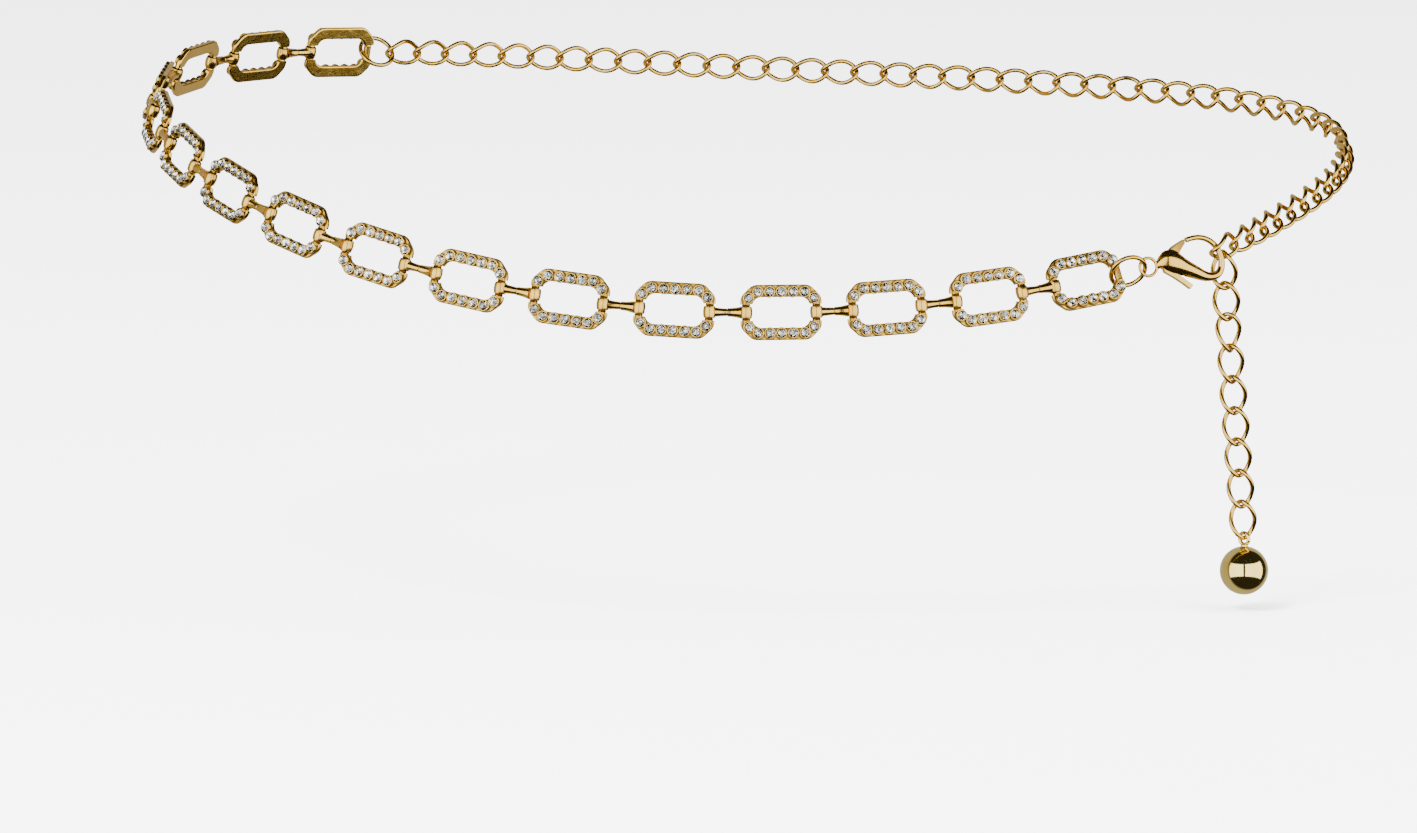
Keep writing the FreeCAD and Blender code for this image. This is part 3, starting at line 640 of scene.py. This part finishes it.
# %% The plate's two halves
def band():
    """Upper half of the plate: at each step a rounded rectangle from the inner to the outer outline."""
    outer, inner = map(upper_half, oval_outlines())
    arc = np.linspace(0, np.pi / 2, EDGE_STEPS)
    flat = np.linspace(0, 1, FLAT_STEPS + 2)[1:-1]
    zero, one = np.zeros(EDGE_STEPS), np.ones(EDGE_STEPS)
    bend = EDGE_ROUND * (1 - np.cos(arc))
    lift = EDGE_ROUND * (1 - np.sin(arc))
    share = np.concatenate([zero, flat, one, one, flat[::-1], zero])
    inset = np.concatenate([bend, 0 * flat, -bend[::-1], -bend, 0 * flat, bend[::-1]])
    height = np.concatenate([PLATE_TOP - lift, PLATE_TOP + 0 * flat, (PLATE_TOP - lift)[::-1],
                             PLATE_LOW + lift, PLATE_LOW + 0 * flat, (PLATE_LOW + lift)[::-1]])
    across = (outer - inner)[:, None]
    flat_points = inner[:, None] + across * share[:, None] + unit(across) * inset[:, None]
    # Painted shade: the plate's top is painted darker close to each cup, fading with distance.
    gap = np.linalg.norm(flat_points[:, :, None] - stone_spots, axis=-1).min(-1) - CUP_RADIUS
    shade = np.clip(SHADE_FULL - np.maximum(gap, 0) / SHADE_FADE, 0, 1)
    shade = shade * (height > PLATE_TOP - EDGE_ROUND)
    return skin(raised(flat_points, height[:, None]), painted_shade=VALLEY_SHADE * shade)


def turned_half(shape):
    """The other half is the same one turned half a turn, so that no face turns inside out."""
    return shape + shape.at(turned(180, 2))


# %% Cups and bars
CUP_PROFILE = ((CORE, -0.5), (1.5, -0.5), (1.5, 0.2), (1.5, 0.55), (1.49, 0.85), (1.45, 1.02),
               (1.38, 1.11), (1.28, 1.13), (1.2, 1.09), (1.15, 1.0), (1.12, 0.85), (0.9, 0.42),
               (CORE, 0.4))
CUP_SHADE = (1, 1, 1, 0.55, 0.12, 0, 0, 0, 0, 0.3, 0.8, 1, 1)
BAR_REACH, BAR_STEPS, TURNED_SIDES = 2.6, 41, 28
COLLAR_RISE, COLLAR_AT, COLLAR_SPREAD, COLLAR_FOOT, BARE_SHADE = 0.13, 1.82, 0.14, 0.02, 0.5

# Painted shade: the cup's foot, walls and seat are painted dark and its rim is left bright.
cup = lathe(CUP_PROFILE, TURNED_SIDES, painted_shade=CUP_SHADE)
bar_row = np.linspace(-BAR_REACH, BAR_REACH, BAR_STEPS)
collars = COLLAR_RISE * np.exp(-(((np.abs(bar_row) - COLLAR_AT) / COLLAR_SPREAD) ** 2))
bar_profile = np.stack([BAR_RADIUS + collars, bar_row], axis=-1)
# Painted shade: the bare bar between the collars is painted darker.
bar = lathe(bar_profile, TURNED_SIDES, painted_shade=BARE_SHADE * (collars < COLLAR_FOOT)).at(turned(-90, 0))

cup_seats = np.stack([moved(along, across) for along, across in stone_spots])
bars = bar.at(np.stack([moved(BAR_OFFSET), moved(-BAR_OFFSET)]))
link_shape = turned_half(band()) + cup.at(cup_seats) + bars
print("a cast link has", triangles(link_shape), "triangles and", round(link_shape.volume(), 1), "mm3")

misses = []
for number, seat in enumerate(link_seats, 1):
    node = f"link_frame_{number:02d}"
    cast_link = piece(f"cast_link_{number:02d}", link_shape.at(seat), [node], [cast_gold])
    misses.append(box_miss(cast_link, node))
print("cast links miss their nodes' boxes by", round(max(misses), 3), "mm at most")

# %% [markdown]
# ## Dog bones
#
# A dog bone is a barrel closed round each neighbour's bar, and a neck that narrows between
# them. In the middle of the neck a fine seam shows where the right half's sleeve begins.
# Both are turned shapes, so a lathe makes them.

# %% Dog bones
BONE_SPAN = LINK_PITCH / 2 - BAR_OFFSET
KNUCKLE_RADIUS, KNUCKLE_BORE, KNUCKLE_HIGH, KNUCKLE_SWELL, KNUCKLE_RIM = 1.65, 1.25, 3.0, 0.2, 0.1
BORE_SHADE, END_SHADE = 0.7, 0.4
NECK_REACH, NECK_STEPS, NECK_RADIUS, NECK_FLARE = 3.3, 81, 0.98, 0.25
SLEEVE_START, SLEEVE_RISE, SLEEVE_FLARE = 0.05, 0.12, 0.2
SEAM_AT, SEAM_DEEP, SEAM_SPREAD, SEAM_SHADE = -0.12, 0.12, 0.09, 6


def barrel():
    """Closed profile round the bore: an outer wall that swells in the middle, with rounded ends."""
    up = np.linspace(-1, 1, 9)
    end = KNUCKLE_HIGH / 2
    outer = np.stack([KNUCKLE_RADIUS - KNUCKLE_SWELL * up ** 2, up * (end - KNUCKLE_RIM)], axis=-1)
    rim = [(KNUCKLE_RADIUS - 0.22, end - 0.05), (KNUCKLE_RADIUS - 0.26, end)]
    top = rim + [(KNUCKLE_BORE + KNUCKLE_RIM, end)]
    bore = [(KNUCKLE_BORE, end - KNUCKLE_RIM), (KNUCKLE_BORE, KNUCKLE_RIM - end)]
    bottom = [(radius, -height) for radius, height in top[::-1]]
    profile = np.vstack([outer, top, bore, bottom])
    # Painted shade: the bore is painted dark, and the outer wall darker towards its ends.
    shade = BORE_SHADE * (profile[:, 0] <= KNUCKLE_BORE)
    shade = shade + END_SHADE * (2 * profile[:, 1] / KNUCKLE_HIGH) ** 2
    return lathe(profile, 32, closed=True, painted_shade=np.minimum(shade, 1))


def neck():
    """Radius along the neck: a waist that flares as a square, more in the right half, and a seam."""
    along = np.linspace(-NECK_REACH, NECK_REACH, NECK_STEPS)
    right = (1 + np.tanh((along + SLEEVE_START) / SLEEVE_START)) / 2
    flare = (NECK_FLARE + SLEEVE_FLARE * right) * (along / NECK_REACH) ** 2
    seam = SEAM_DEEP * np.exp(-(((along - SEAM_AT) / SEAM_SPREAD) ** 2))
    radius = NECK_RADIUS + SLEEVE_RISE * right + flare - seam
    # Painted shade: the seam's groove is painted dark.
    shape = lathe(np.stack([radius, along], axis=-1), TURNED_SIDES, painted_shade=SEAM_SHADE * seam)
    return shape.at(turned(90, 1))


knuckles = barrel().at(turned(-90, 0)).at(np.stack([moved(BONE_SPAN), moved(-BONE_SPAN)]))
bone_shape = knuckles + neck()
for number, seat in enumerate(bone_seats, 1):
    piece(f"dog_bone_{number:02d}", bone_shape.at(seat), [f"connector_{number:02d}"], [cast_gold])
print("a dog bone has", triangles(bone_shape), "triangles")

# %% [markdown]
# ## Rings and curb chain
#
# A jump ring is round wire bent to a circle. A curb link is round wire bent to an oval
# whose two ends are twisted against each other, so that the chain lies flat: its middle
# line is an ellipse turned about the chain by an angle that swings from one end to the other.

# %% Rings
ring_shape = wire_ring(RING_RADIUS, RING_WIRE)
for name, seat in (("front", front_ring), ("back", back_ring)):
    piece(f"{name}_jump_ring", ring_shape.at(seat), [f"{name}_ring"], [wire_gold])


# %% Curb links
def curb_link(steps=56, sides=12):
    """x = a cos t, and b sin t across, turned about x by the twist times cos t."""
    turn = np.linspace(0, 2 * np.pi, steps, endpoint=False)
    twist = CURB_TWIST * np.cos(turn)
    wide = CURB_WIDE * np.sin(turn)
    path = np.stack([CURB_LONG * np.cos(turn), wide * np.cos(twist), wide * np.sin(twist)], axis=-1)
    return tube(path, path, CURB_WIRE, sides)


curb_shape = curb_link()
piece("curb_chain_links", curb_shape.at(curb_seats), ["curb_chain"], [wire_gold])
piece("tail_chain_links", curb_shape.at(tail_seats), ["tail_chain"], [wire_gold])
print(CURB_LINKS + TAIL_LINKS, "curb links of", triangles(curb_shape), "triangles")

# %% [markdown]
# ## The lobster clasp
#
# The body is one casting: an eye, a belly like a horn, and a hook that swings over to meet
# the gate. A few ellipses say how it runs, and a natural cubic spline through them gives
# a skin with no kink for a highlight to break on. The slot for the lever is cut with a
# Boolean, as the real one is sawn.

# %% A smooth line through rows of a table
def splined(table, steps):
    """Natural cubic spline through a table's rows, by chord length. A band matrix gives its second
    slopes."""
    rows = np.asarray(table, float)
    gap = np.linalg.norm(np.diff(rows[:, :2], axis=0), axis=1)
    knots = np.concatenate([[0], np.cumsum(gap)])
    slope = np.diff(rows, axis=0) / gap[:, None]
    size = len(rows)
    system = np.eye(size)
    inner = np.arange(1, size - 1)
    system[inner, inner - 1] = gap[:-1]
    system[inner, inner] = 2 * (gap[:-1] + gap[1:])
    system[inner, inner + 1] = gap[1:]
    wanted = np.zeros_like(rows)
    wanted[1:-1] = 6 * np.diff(slope, axis=0)
    second = np.linalg.solve(system, wanted)
    at = np.linspace(0, knots[-1], steps)
    span = np.clip(np.searchsorted(knots, at, side="right") - 1, 0, size - 2)
    low, high, width = (knots[span + 1] - at)[:, None], (at - knots[span])[:, None], gap[span][:, None]
    curve = (second[span] * low ** 3 + second[span + 1] * high ** 3) / (6 * width)
    line = (rows[span] / width - second[span] * width / 6) * low
    return curve + line + (rows[span + 1] / width - second[span + 1] * width / 6) * high


# %% Clasp body
HORN = (  # along, up, heading in degrees, half height, half width
    (2.2, 0.45, 12.0, 0.75, 0.75),
    (4.9, 1.8, 5.0, 3.1, 2.2),
    (9.0, 0.6, -15.0, 2.5, 2.3),
    (12.9, -0.75, -15.0, 1.75, 1.75),
    (16.6, -1.7, 0.0, 1.2, 1.2),
    (19.3, -0.6, 50.0, 1.0, 1.0),
    (20.0, 2.4, 95.0, 0.85, 0.85),
    (18.9, 5.5, 118.0, 0.8, 0.8),
    (16.5, 7.6, 152.0, 0.75, 0.75),
    (13.2, 8.2, 180.0, 0.7, 0.7),
    (10.2, 7.4, 205.0, 0.7, 0.7),
)
SLOT_START, SLOT_END, SLOT_FOOT, SLOT_TOP, SLOT_WIDE = 2.9, 10.4, -8.0, 5.6, 2.2
PIN_RADIUS, PIN_REACH, PIN_CHAMFER, TIP_ROUND = 0.5, 2.3, 0.08, 0.18


def horn(steps=190, sides=44):
    """Ellipses square to the heading along a splined line, with the last one drawn in at its rim."""
    along, up, heading, tall, wide = splined(HORN, steps).T
    heading = np.radians(heading)
    close = np.linspace(0, np.pi / 2, 8)[1:-1]
    reach = np.concatenate([0 * heading, TIP_ROUND * np.sin(close)])
    drawn_in = TIP_ROUND / tall[-1] * (1 - np.cos(close))
    shrink = np.concatenate([1 + 0 * heading, 1 - drawn_in])[:, None]
    pick = np.concatenate([np.arange(steps), np.full(len(close), steps - 1)])
    angle = np.linspace(0, 2 * np.pi, sides, endpoint=False)
    rise = tall[pick, None] * shrink * np.cos(angle)
    heading = heading[pick, None]
    x = along[pick, None] + reach[:, None] * np.cos(heading) - rise * np.sin(heading)
    y = up[pick, None] + reach[:, None] * np.sin(heading) + rise * np.cos(heading)
    return skin(np.stack([x, y, wide[pick, None] * shrink * np.sin(angle)], axis=-1))


def block(x_low, x_high, y_low, y_high, half_deep):
    """A box as a skin over two rows of four corners."""
    corners = np.array([(x_low, y_low), (x_high, y_low), (x_high, y_high), (x_low, y_high)])
    grid = [np.column_stack([corners, np.full(4, deep)]) for deep in (-half_deep, half_deep)]
    return skin(np.stack(grid))


def cut_out(made, tool_shape):
    """A live Boolean would leave its tool in the scene, so the cut mesh is written back."""
    tool = shown("tool", mesh_of("tool", tool_shape))
    cut = made.modifiers.new("cut", "BOOLEAN")
    cut.operation = "DIFFERENCE"
    cut.object = tool
    evaluated = made.evaluated_get(bpy.context.evaluated_depsgraph_get())
    made.data = bpy.data.meshes.new_from_object(evaluated)
    made.modifiers.clear()
    bpy.data.objects.remove(tool)
    made.data.set_sharp_from_angle(angle=math.radians(CRISP_ANGLE))


clasp = piece("clasp_horn", horn().at(clasp_seat), ["clasp_body"], [wire_gold])
cut_out(clasp, block(SLOT_START, SLOT_END, SLOT_FOOT, SLOT_TOP, SLOT_WIDE / 2).at(clasp_seat))
half_pin = [(PIN_RADIUS, PIN_REACH - PIN_CHAMFER), (CORE, PIN_REACH)]
rivet = lathe([(radius, -height) for radius, height in half_pin[::-1]] + half_pin, 24)
eye_and_pin = wire_ring(EYE_RADIUS, EYE_WIRE, steps=56, sides=14) + rivet.at(moved(*PIVOT))
piece("clasp_eye_and_rivet", eye_and_pin.at(clasp_seat), ["clasp_body"], [wire_gold])
print("clasp body has", len(clasp.data.polygons), "faces after the cut")

# %% [markdown]
# ### The lever
#
# The gate and its thumb tab are one stamped piece that turns on the rivet. Its outline is
# fourteen points softened by cutting corners, and its edges are rounded in section, so that it
# catches one bright line. The gate stands in the shade of the horn, so its plating looks darker.

# %% Lever
LEVER = ((9.35, 7.55), (9.75, 6.6), (8.4, 4.4), (7.4, 1.2), (7.0, -0.9), (9.9, -2.7), (12.1, -4.1),
         (11.4, -5.2), (9.6, -4.0), (7.0, -2.5), (4.3, -1.2), (3.6, 1.2), (4.3, 3.3), (6.2, 5.5))
LEVER_DEEP, LEVER_ROUND = 1.7, 0.12
SHARP_CORNER, SHARP_REACH, SIDE_SHARE = -0.7, 0.45, 0.4
HORN_SHADE, HORN_SHADE_START, HORN_SHADE_FADE = 0.8, 2.6, 1.5


def softened(outline, times=3):
    """Points beside each corner keep the runs straight, close ones at a sharp corner and far ones at
    a shallow bend. Then each corner is cut a quarter of the way along its two sides, again and again."""
    back, on = np.roll(outline, 1, axis=0) - outline, np.roll(outline, -1, axis=0) - outline
    sharp = np.sum(unit(back) * unit(on), -1, keepdims=True) > SHARP_CORNER
    limit = np.where(sharp, SHARP_REACH, np.inf)
    sides = [unit(side) * np.minimum(SIDE_SHARE * np.linalg.norm(side, axis=1, keepdims=True), limit)
             for side in (back, on)]
    outline = np.stack([outline + sides[0], outline, outline + sides[1]], axis=1).reshape(-1, 2)
    for _ in range(times):
        following = np.roll(outline, -1, axis=0)
        pair = np.stack([0.75 * outline + 0.25 * following, 0.25 * outline + 0.75 * following], axis=1)
        outline = pair.reshape(-1, 2)
    return outline


def stamped(outline, deep, rounding):
    """An outline as rows of a skin: it draws in by r(1 - cos a) as the height goes r sin a past
    the flat."""
    ahead = unit(np.roll(outline, -1, axis=0) - np.roll(outline, 1, axis=0))
    inward = np.stack([ahead[:, 1], -ahead[:, 0]], axis=-1)
    arc = np.linspace(-np.pi / 2, np.pi / 2, 10)
    inset = rounding * (1 - np.cos(arc))
    height = rounding * np.sin(arc) + np.sign(arc) * (deep / 2 - rounding)
    rows = outline[None] + inward[None] * inset[:, None, None]
    return skin(raised(rows, height[:, None, None]))


lever_shape = stamped(softened(np.array(LEVER)), LEVER_DEEP, LEVER_ROUND)
# Painted shade: the gate is painted darker towards the horn.
under_horn = np.clip((lever_shape.points[:, 1] - HORN_SHADE_START) / HORN_SHADE_FADE, 0, 1)
lever_shape.painted_shade = HORN_SHADE * under_horn
piece("clasp_gate", lever_shape.at(clasp_seat), ["clasp_lever"], [wire_gold], body="lever")
print("the gate's volume is", round(lever_shape.volume(), 1), "mm3")

# %% [markdown]
# ## The ball drop
#
# The ball is polished until it mirrors the room. A short collar joins it to a cast eye.

# %% Ball drop
POLE_GAP, LATITUDES, MERIDIANS = 0.004, 65, 96
COLLAR_WAIST, COLLAR_FLARE, COLLAR_START, COLLAR_SINK = 0.9, 0.75, 0.1, 0.35

ball_middle = -(DROP_EYE + BALL_RADIUS + DROP_WIRE)
latitude = np.linspace(-np.pi / 2 + POLE_GAP, np.pi / 2 - POLE_GAP, LATITUDES)
sphere_profile = np.stack([BALL_RADIUS * np.cos(latitude), BALL_RADIUS * np.sin(latitude)], axis=-1)
sphere = lathe(sphere_profile, MERIDIANS)
collar_row = np.linspace(0, 1, 13)
collar_radius = COLLAR_WAIST + COLLAR_FLARE * collar_row ** 3
collar_height = -DROP_EYE - COLLAR_START - collar_row * (DROP_WIRE + COLLAR_SINK)
# Painted shade: the collar is painted darker where it sinks into the ball.
collar = lathe(np.stack([collar_radius, collar_height], axis=-1), 40, painted_shade=0.5 * collar_row ** 4)
eye = wire_ring(DROP_EYE, DROP_WIRE, steps=56, sides=16).at(turned(90, 0))
ball_shape = sphere.at(moved(z=ball_middle)) + collar + eye
piece("polished_ball", ball_shape.at(drop_seat), ["ball_drop"], [ball_gold], body="drop")
print("the ball's middle is at", point_in(drop_seat, z=ball_middle).round(1), "mm")

# %% [markdown]
# ## The crystals
#
# A brilliant cut has a table with stars, kites and girdle facets on its crown, and kites
# that meet in a point below. The points are a few rings: the table's and the crown's middle
# ring of eight, the girdle's of sixteen, and the pavilion's of eight. Facets are triangles
# between them, the same eight times round. Each stone is turned at random about its own axis
# and tipped a degree or two, so no two sparkle alike.

# %% A brilliant
STONE_RADIUS, GIRDLE_LOW, GIRDLE_HIGH, TABLE_TOP, CULET = 1.16, 1.03, 1.09, 1.41, 0.46


def circle_of(count, radius, height, offset=0.0):
    """Points at even angles on a level circle, the first one an offset of a step round."""
    angle = 2 * np.pi * (np.arange(count) + offset) / count
    return np.column_stack([radius * np.cos(angle), radius * np.sin(angle), np.full(count, height)])


def brilliant():
    """Crown and pavilion as blocks of triangles between rings; the middle rings keep the kites flat."""
    table, star, belt, pavilion = 0.62, 0.83, 1.0, 0.5
    level = (star * np.cos(np.pi / 8) - table) / (belt - table)
    deep = (pavilion * np.cos(np.pi / 8)) / belt
    points = np.vstack([
        circle_of(8, table * STONE_RADIUS, TABLE_TOP),
        circle_of(8, star * STONE_RADIUS, TABLE_TOP + (GIRDLE_HIGH - TABLE_TOP) * level, 0.5),
        circle_of(16, STONE_RADIUS, GIRDLE_HIGH),
        circle_of(16, STONE_RADIUS, GIRDLE_LOW),
        circle_of(8, pavilion * STONE_RADIUS, CULET + (GIRDLE_LOW - CULET) * deep, 0.5),
        [(0, 0, CULET)]])
    now = np.arange(8)
    then, before = (now + 1) % 8, (now - 1) % 8
    high, low, under, tip = 16, 32, 48, 56
    even, odd, following = 2 * now, 2 * now + 1, (2 * now + 2) % 16
    belt_now = np.arange(16)
    belt_then = (belt_now + 1) % 16
    crown = [(now, 8 + now, then), (now, 8 + before, high + even), (now, high + even, 8 + now),
             (8 + now, high + even, high + odd), (8 + now, high + odd, high + following)]
    below = [(np.full(8, tip), under + now, low + even), (np.full(8, tip), low + even, under + before),
             (under + now, low + odd, low + even), (under + now, low + following, low + odd)]
    faces = [np.arange(8)[None], np.vstack([np.column_stack(part) for part in crown]),
             np.column_stack([high + belt_now, low + belt_now, low + belt_then, high + belt_then]),
             np.vstack([np.column_stack(part) for part in below])]
    # Painted shade: the point is marked, so the foil is painted dark around it.
    return Shape(points, faces, np.arange(len(points)) == tip)


# %% Crystals in their cups
SHUFFLE_SEED, STONE_TILT, HIDDEN_STONES = 16, 1.2, 3

chance = np.random.default_rng(SHUFFLE_SEED)


def set_stones(name, links, nodes):
    """Seats of the links times seats of the cups times a random turn and a small tilt of each stone."""
    seats = link_seats[links][:, None] @ cup_seats[None]
    count = seats.shape[:2]
    seats = seats @ turned(chance.uniform(0, 360, count), 2)
    tilt = moved(z=GIRDLE_LOW) @ turned(chance.normal(0, STONE_TILT, count), 0) @ moved(z=-GIRDLE_LOW)
    stone = brilliant()
    copies = int(np.prod(count))
    counts = [len(faces) for faces in stone.faces]
    foiled = np.repeat([0, 0, 0, 1], np.array(counts) * copies)
    piece(name, stone.at(seats @ tilt), nodes, [crystal.material, foil.material],
          crisp=1.0, finish_of_face=foiled)
    print(name, copies, "stones", triangles(stone) * copies, "triangles")


middle_link = (LINKS + HIDDEN_STONES) // 2
set_stones("crystals_left", slice(0, middle_link), ["stones_left"])
set_stones("crystals_right", slice(middle_link, LINKS), ["stones_right"])

# %% [markdown]
# ## Studio
#
# Polished metal has no colour to speak of but what it mirrors, so the room matters as much
# as the gold. The camera stands at the photograph's angle, over a pale floor. Round the piece
# is a dome that only reflections see: two bright panels in front with a narrow gap between
# them, dark above and below, and pale paper behind.

# %% Camera
AIM = np.array([-0.01034, 0.00305, -0.06595])
CAMERA_HEIGHT_ANGLE, CAMERA_DISTANCE, LENS, SENSOR = math.radians(8.0), 2.5, 240.1, 36

towards = np.array([0, -math.cos(CAMERA_HEIGHT_ANGLE), math.sin(CAMERA_HEIGHT_ANGLE)])
lens = bpy.data.cameras.new("camera")
lens.lens = LENS
lens.sensor_width = SENSOR
camera = shown("camera", lens)
camera.location = AIM + towards * CAMERA_DISTANCE
camera.rotation_mode = "XYZ"
camera.rotation_euler = (math.pi / 2 - CAMERA_HEIGHT_ANGLE, 0, 0)
bpy.context.scene.camera = camera

# %% Floor
FLOOR_GAP, FLOOR_HALF = 0.004, 6.0
FLOOR_PALE, FLOOR_GREY = (0.93, 0.93, 0.935, 1), (0.9, 0.9, 0.905, 1)

floor_finish = Finish("pale_floor", Roughness=0.9)
floor_finish.shade(Base_Color=floor_finish.blend(floor_finish.noise(3), FLOOR_PALE, FLOOR_GREY))
floor_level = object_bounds()[0].z - FLOOR_GAP
floor_corners = [(x * FLOOR_HALF, y * FLOOR_HALF, floor_level)
                 for x, y in ((-1, -1), (1, -1), (1, 1), (-1, 1))]
floor_mesh = mesh_of("floor", Shape(floor_corners, [np.arange(4)[None]]), scale=1)
floor_mesh.materials.append(floor_finish.material)
floor = shown("floor", floor_mesh)
floor.visible_glossy = False

# %% The dome that reflections see
DOME_RADIUS = 5.0
PANEL_HALF_HIGH, PANEL_LEFT, PANEL_RIGHT, PANEL_GAP = 29.0, -78.0, 96.0, 4.5
SOFT_TOP, SOFT_SIDE, SOFT_GAP, DEGREES = 2, 3, 1.0, 180 / math.pi
BACK_PAPER, PAPER_START, PAPER_FADE = unit(np.array([-0.35, 0.9, -0.2])), 0.15, 0.2
DARK, PAPER, PANEL = (0.018, 0.016, 0.012, 1), (0.65, 0.63, 0.57, 1), (3.7, 3.7, 3.5, 1)

studio = Finish("studio_dome", Base_Color=(0, 0, 0, 1), Roughness=1.0, Emission_Strength=1.0)
direction = studio.node("ShaderNodeVectorMath", {"operation": "NORMALIZE"}, studio.place())


def facing(axis):
    """How far the dome's direction points along an axis, from -1 to 1."""
    settings = {"operation": "DOT_PRODUCT"}
    return studio.node("ShaderNodeVectorMath", settings, direction, tuple(axis), output=1)


front, side, up = facing(towards), facing((1, 0, 0)), facing(np.cross(towards, (1, 0, 0)))
height = abs(up.maths("ARCSINE", up)) * DEGREES
azimuth = side.maths("ARCTAN2", side, front) * DEGREES
band_mask = ((PANEL_HALF_HIGH - height) / SOFT_TOP).clipped()
left_mask = ((azimuth - PANEL_LEFT) / SOFT_SIDE).clipped()
right_mask = ((PANEL_RIGHT - azimuth) / SOFT_SIDE).clipped()
gap_mask = ((abs(azimuth) - PANEL_GAP) / SOFT_GAP).clipped()
paper_mask = ((facing(BACK_PAPER) - PAPER_START) / PAPER_FADE).clipped()
room = studio.blend(paper_mask, DARK, PAPER)
panels = band_mask * (left_mask * right_mask) * gap_mask
studio.shade(Emission_Color=studio.blend(panels, room, PANEL))
studio.material.cycles.emission_sampling = "NONE"

dome_shape = lathe(np.stack([np.cos(latitude), np.sin(latitude)], axis=-1), MERIDIANS)
dome_mesh = mesh_of("dome", dome_shape, scale=DOME_RADIUS)
dome_mesh.materials.append(studio.material)
dome = shown("dome", dome_mesh)
dome.visible_camera = False
dome.visible_diffuse = False
dome.visible_shadow = False

# %% Lights
WORLD_COLOUR, WORLD_STRENGTH = (0.9, 0.9, 0.91, 1), 4.0

world = bpy.data.worlds.new("pale_room")
world.use_nodes = True
background = world.node_tree.nodes["Background"].inputs
background["Color"].default_value = WORLD_COLOUR
background["Strength"].default_value = WORLD_STRENGTH
bpy.context.scene.world = world


def softbox(name, place, watts, size):
    """A square light that looks at the middle of the chain."""
    light = bpy.data.lights.new(name, "AREA")
    light.energy = watts
    light.size = size
    lamp = shown(name, light)
    lamp.location = place
    lamp.rotation_euler = (Vector(AIM) - lamp.location).to_track_quat("-Z", "Y").to_euler()
    lamp.visible_glossy = False
    lamp.visible_camera = False


softbox("key", (-1.0, -1.2, 2.0), 260.0, 0.9)
softbox("fill", (1.4, -0.6, 1.6), 90.0, 1.4)
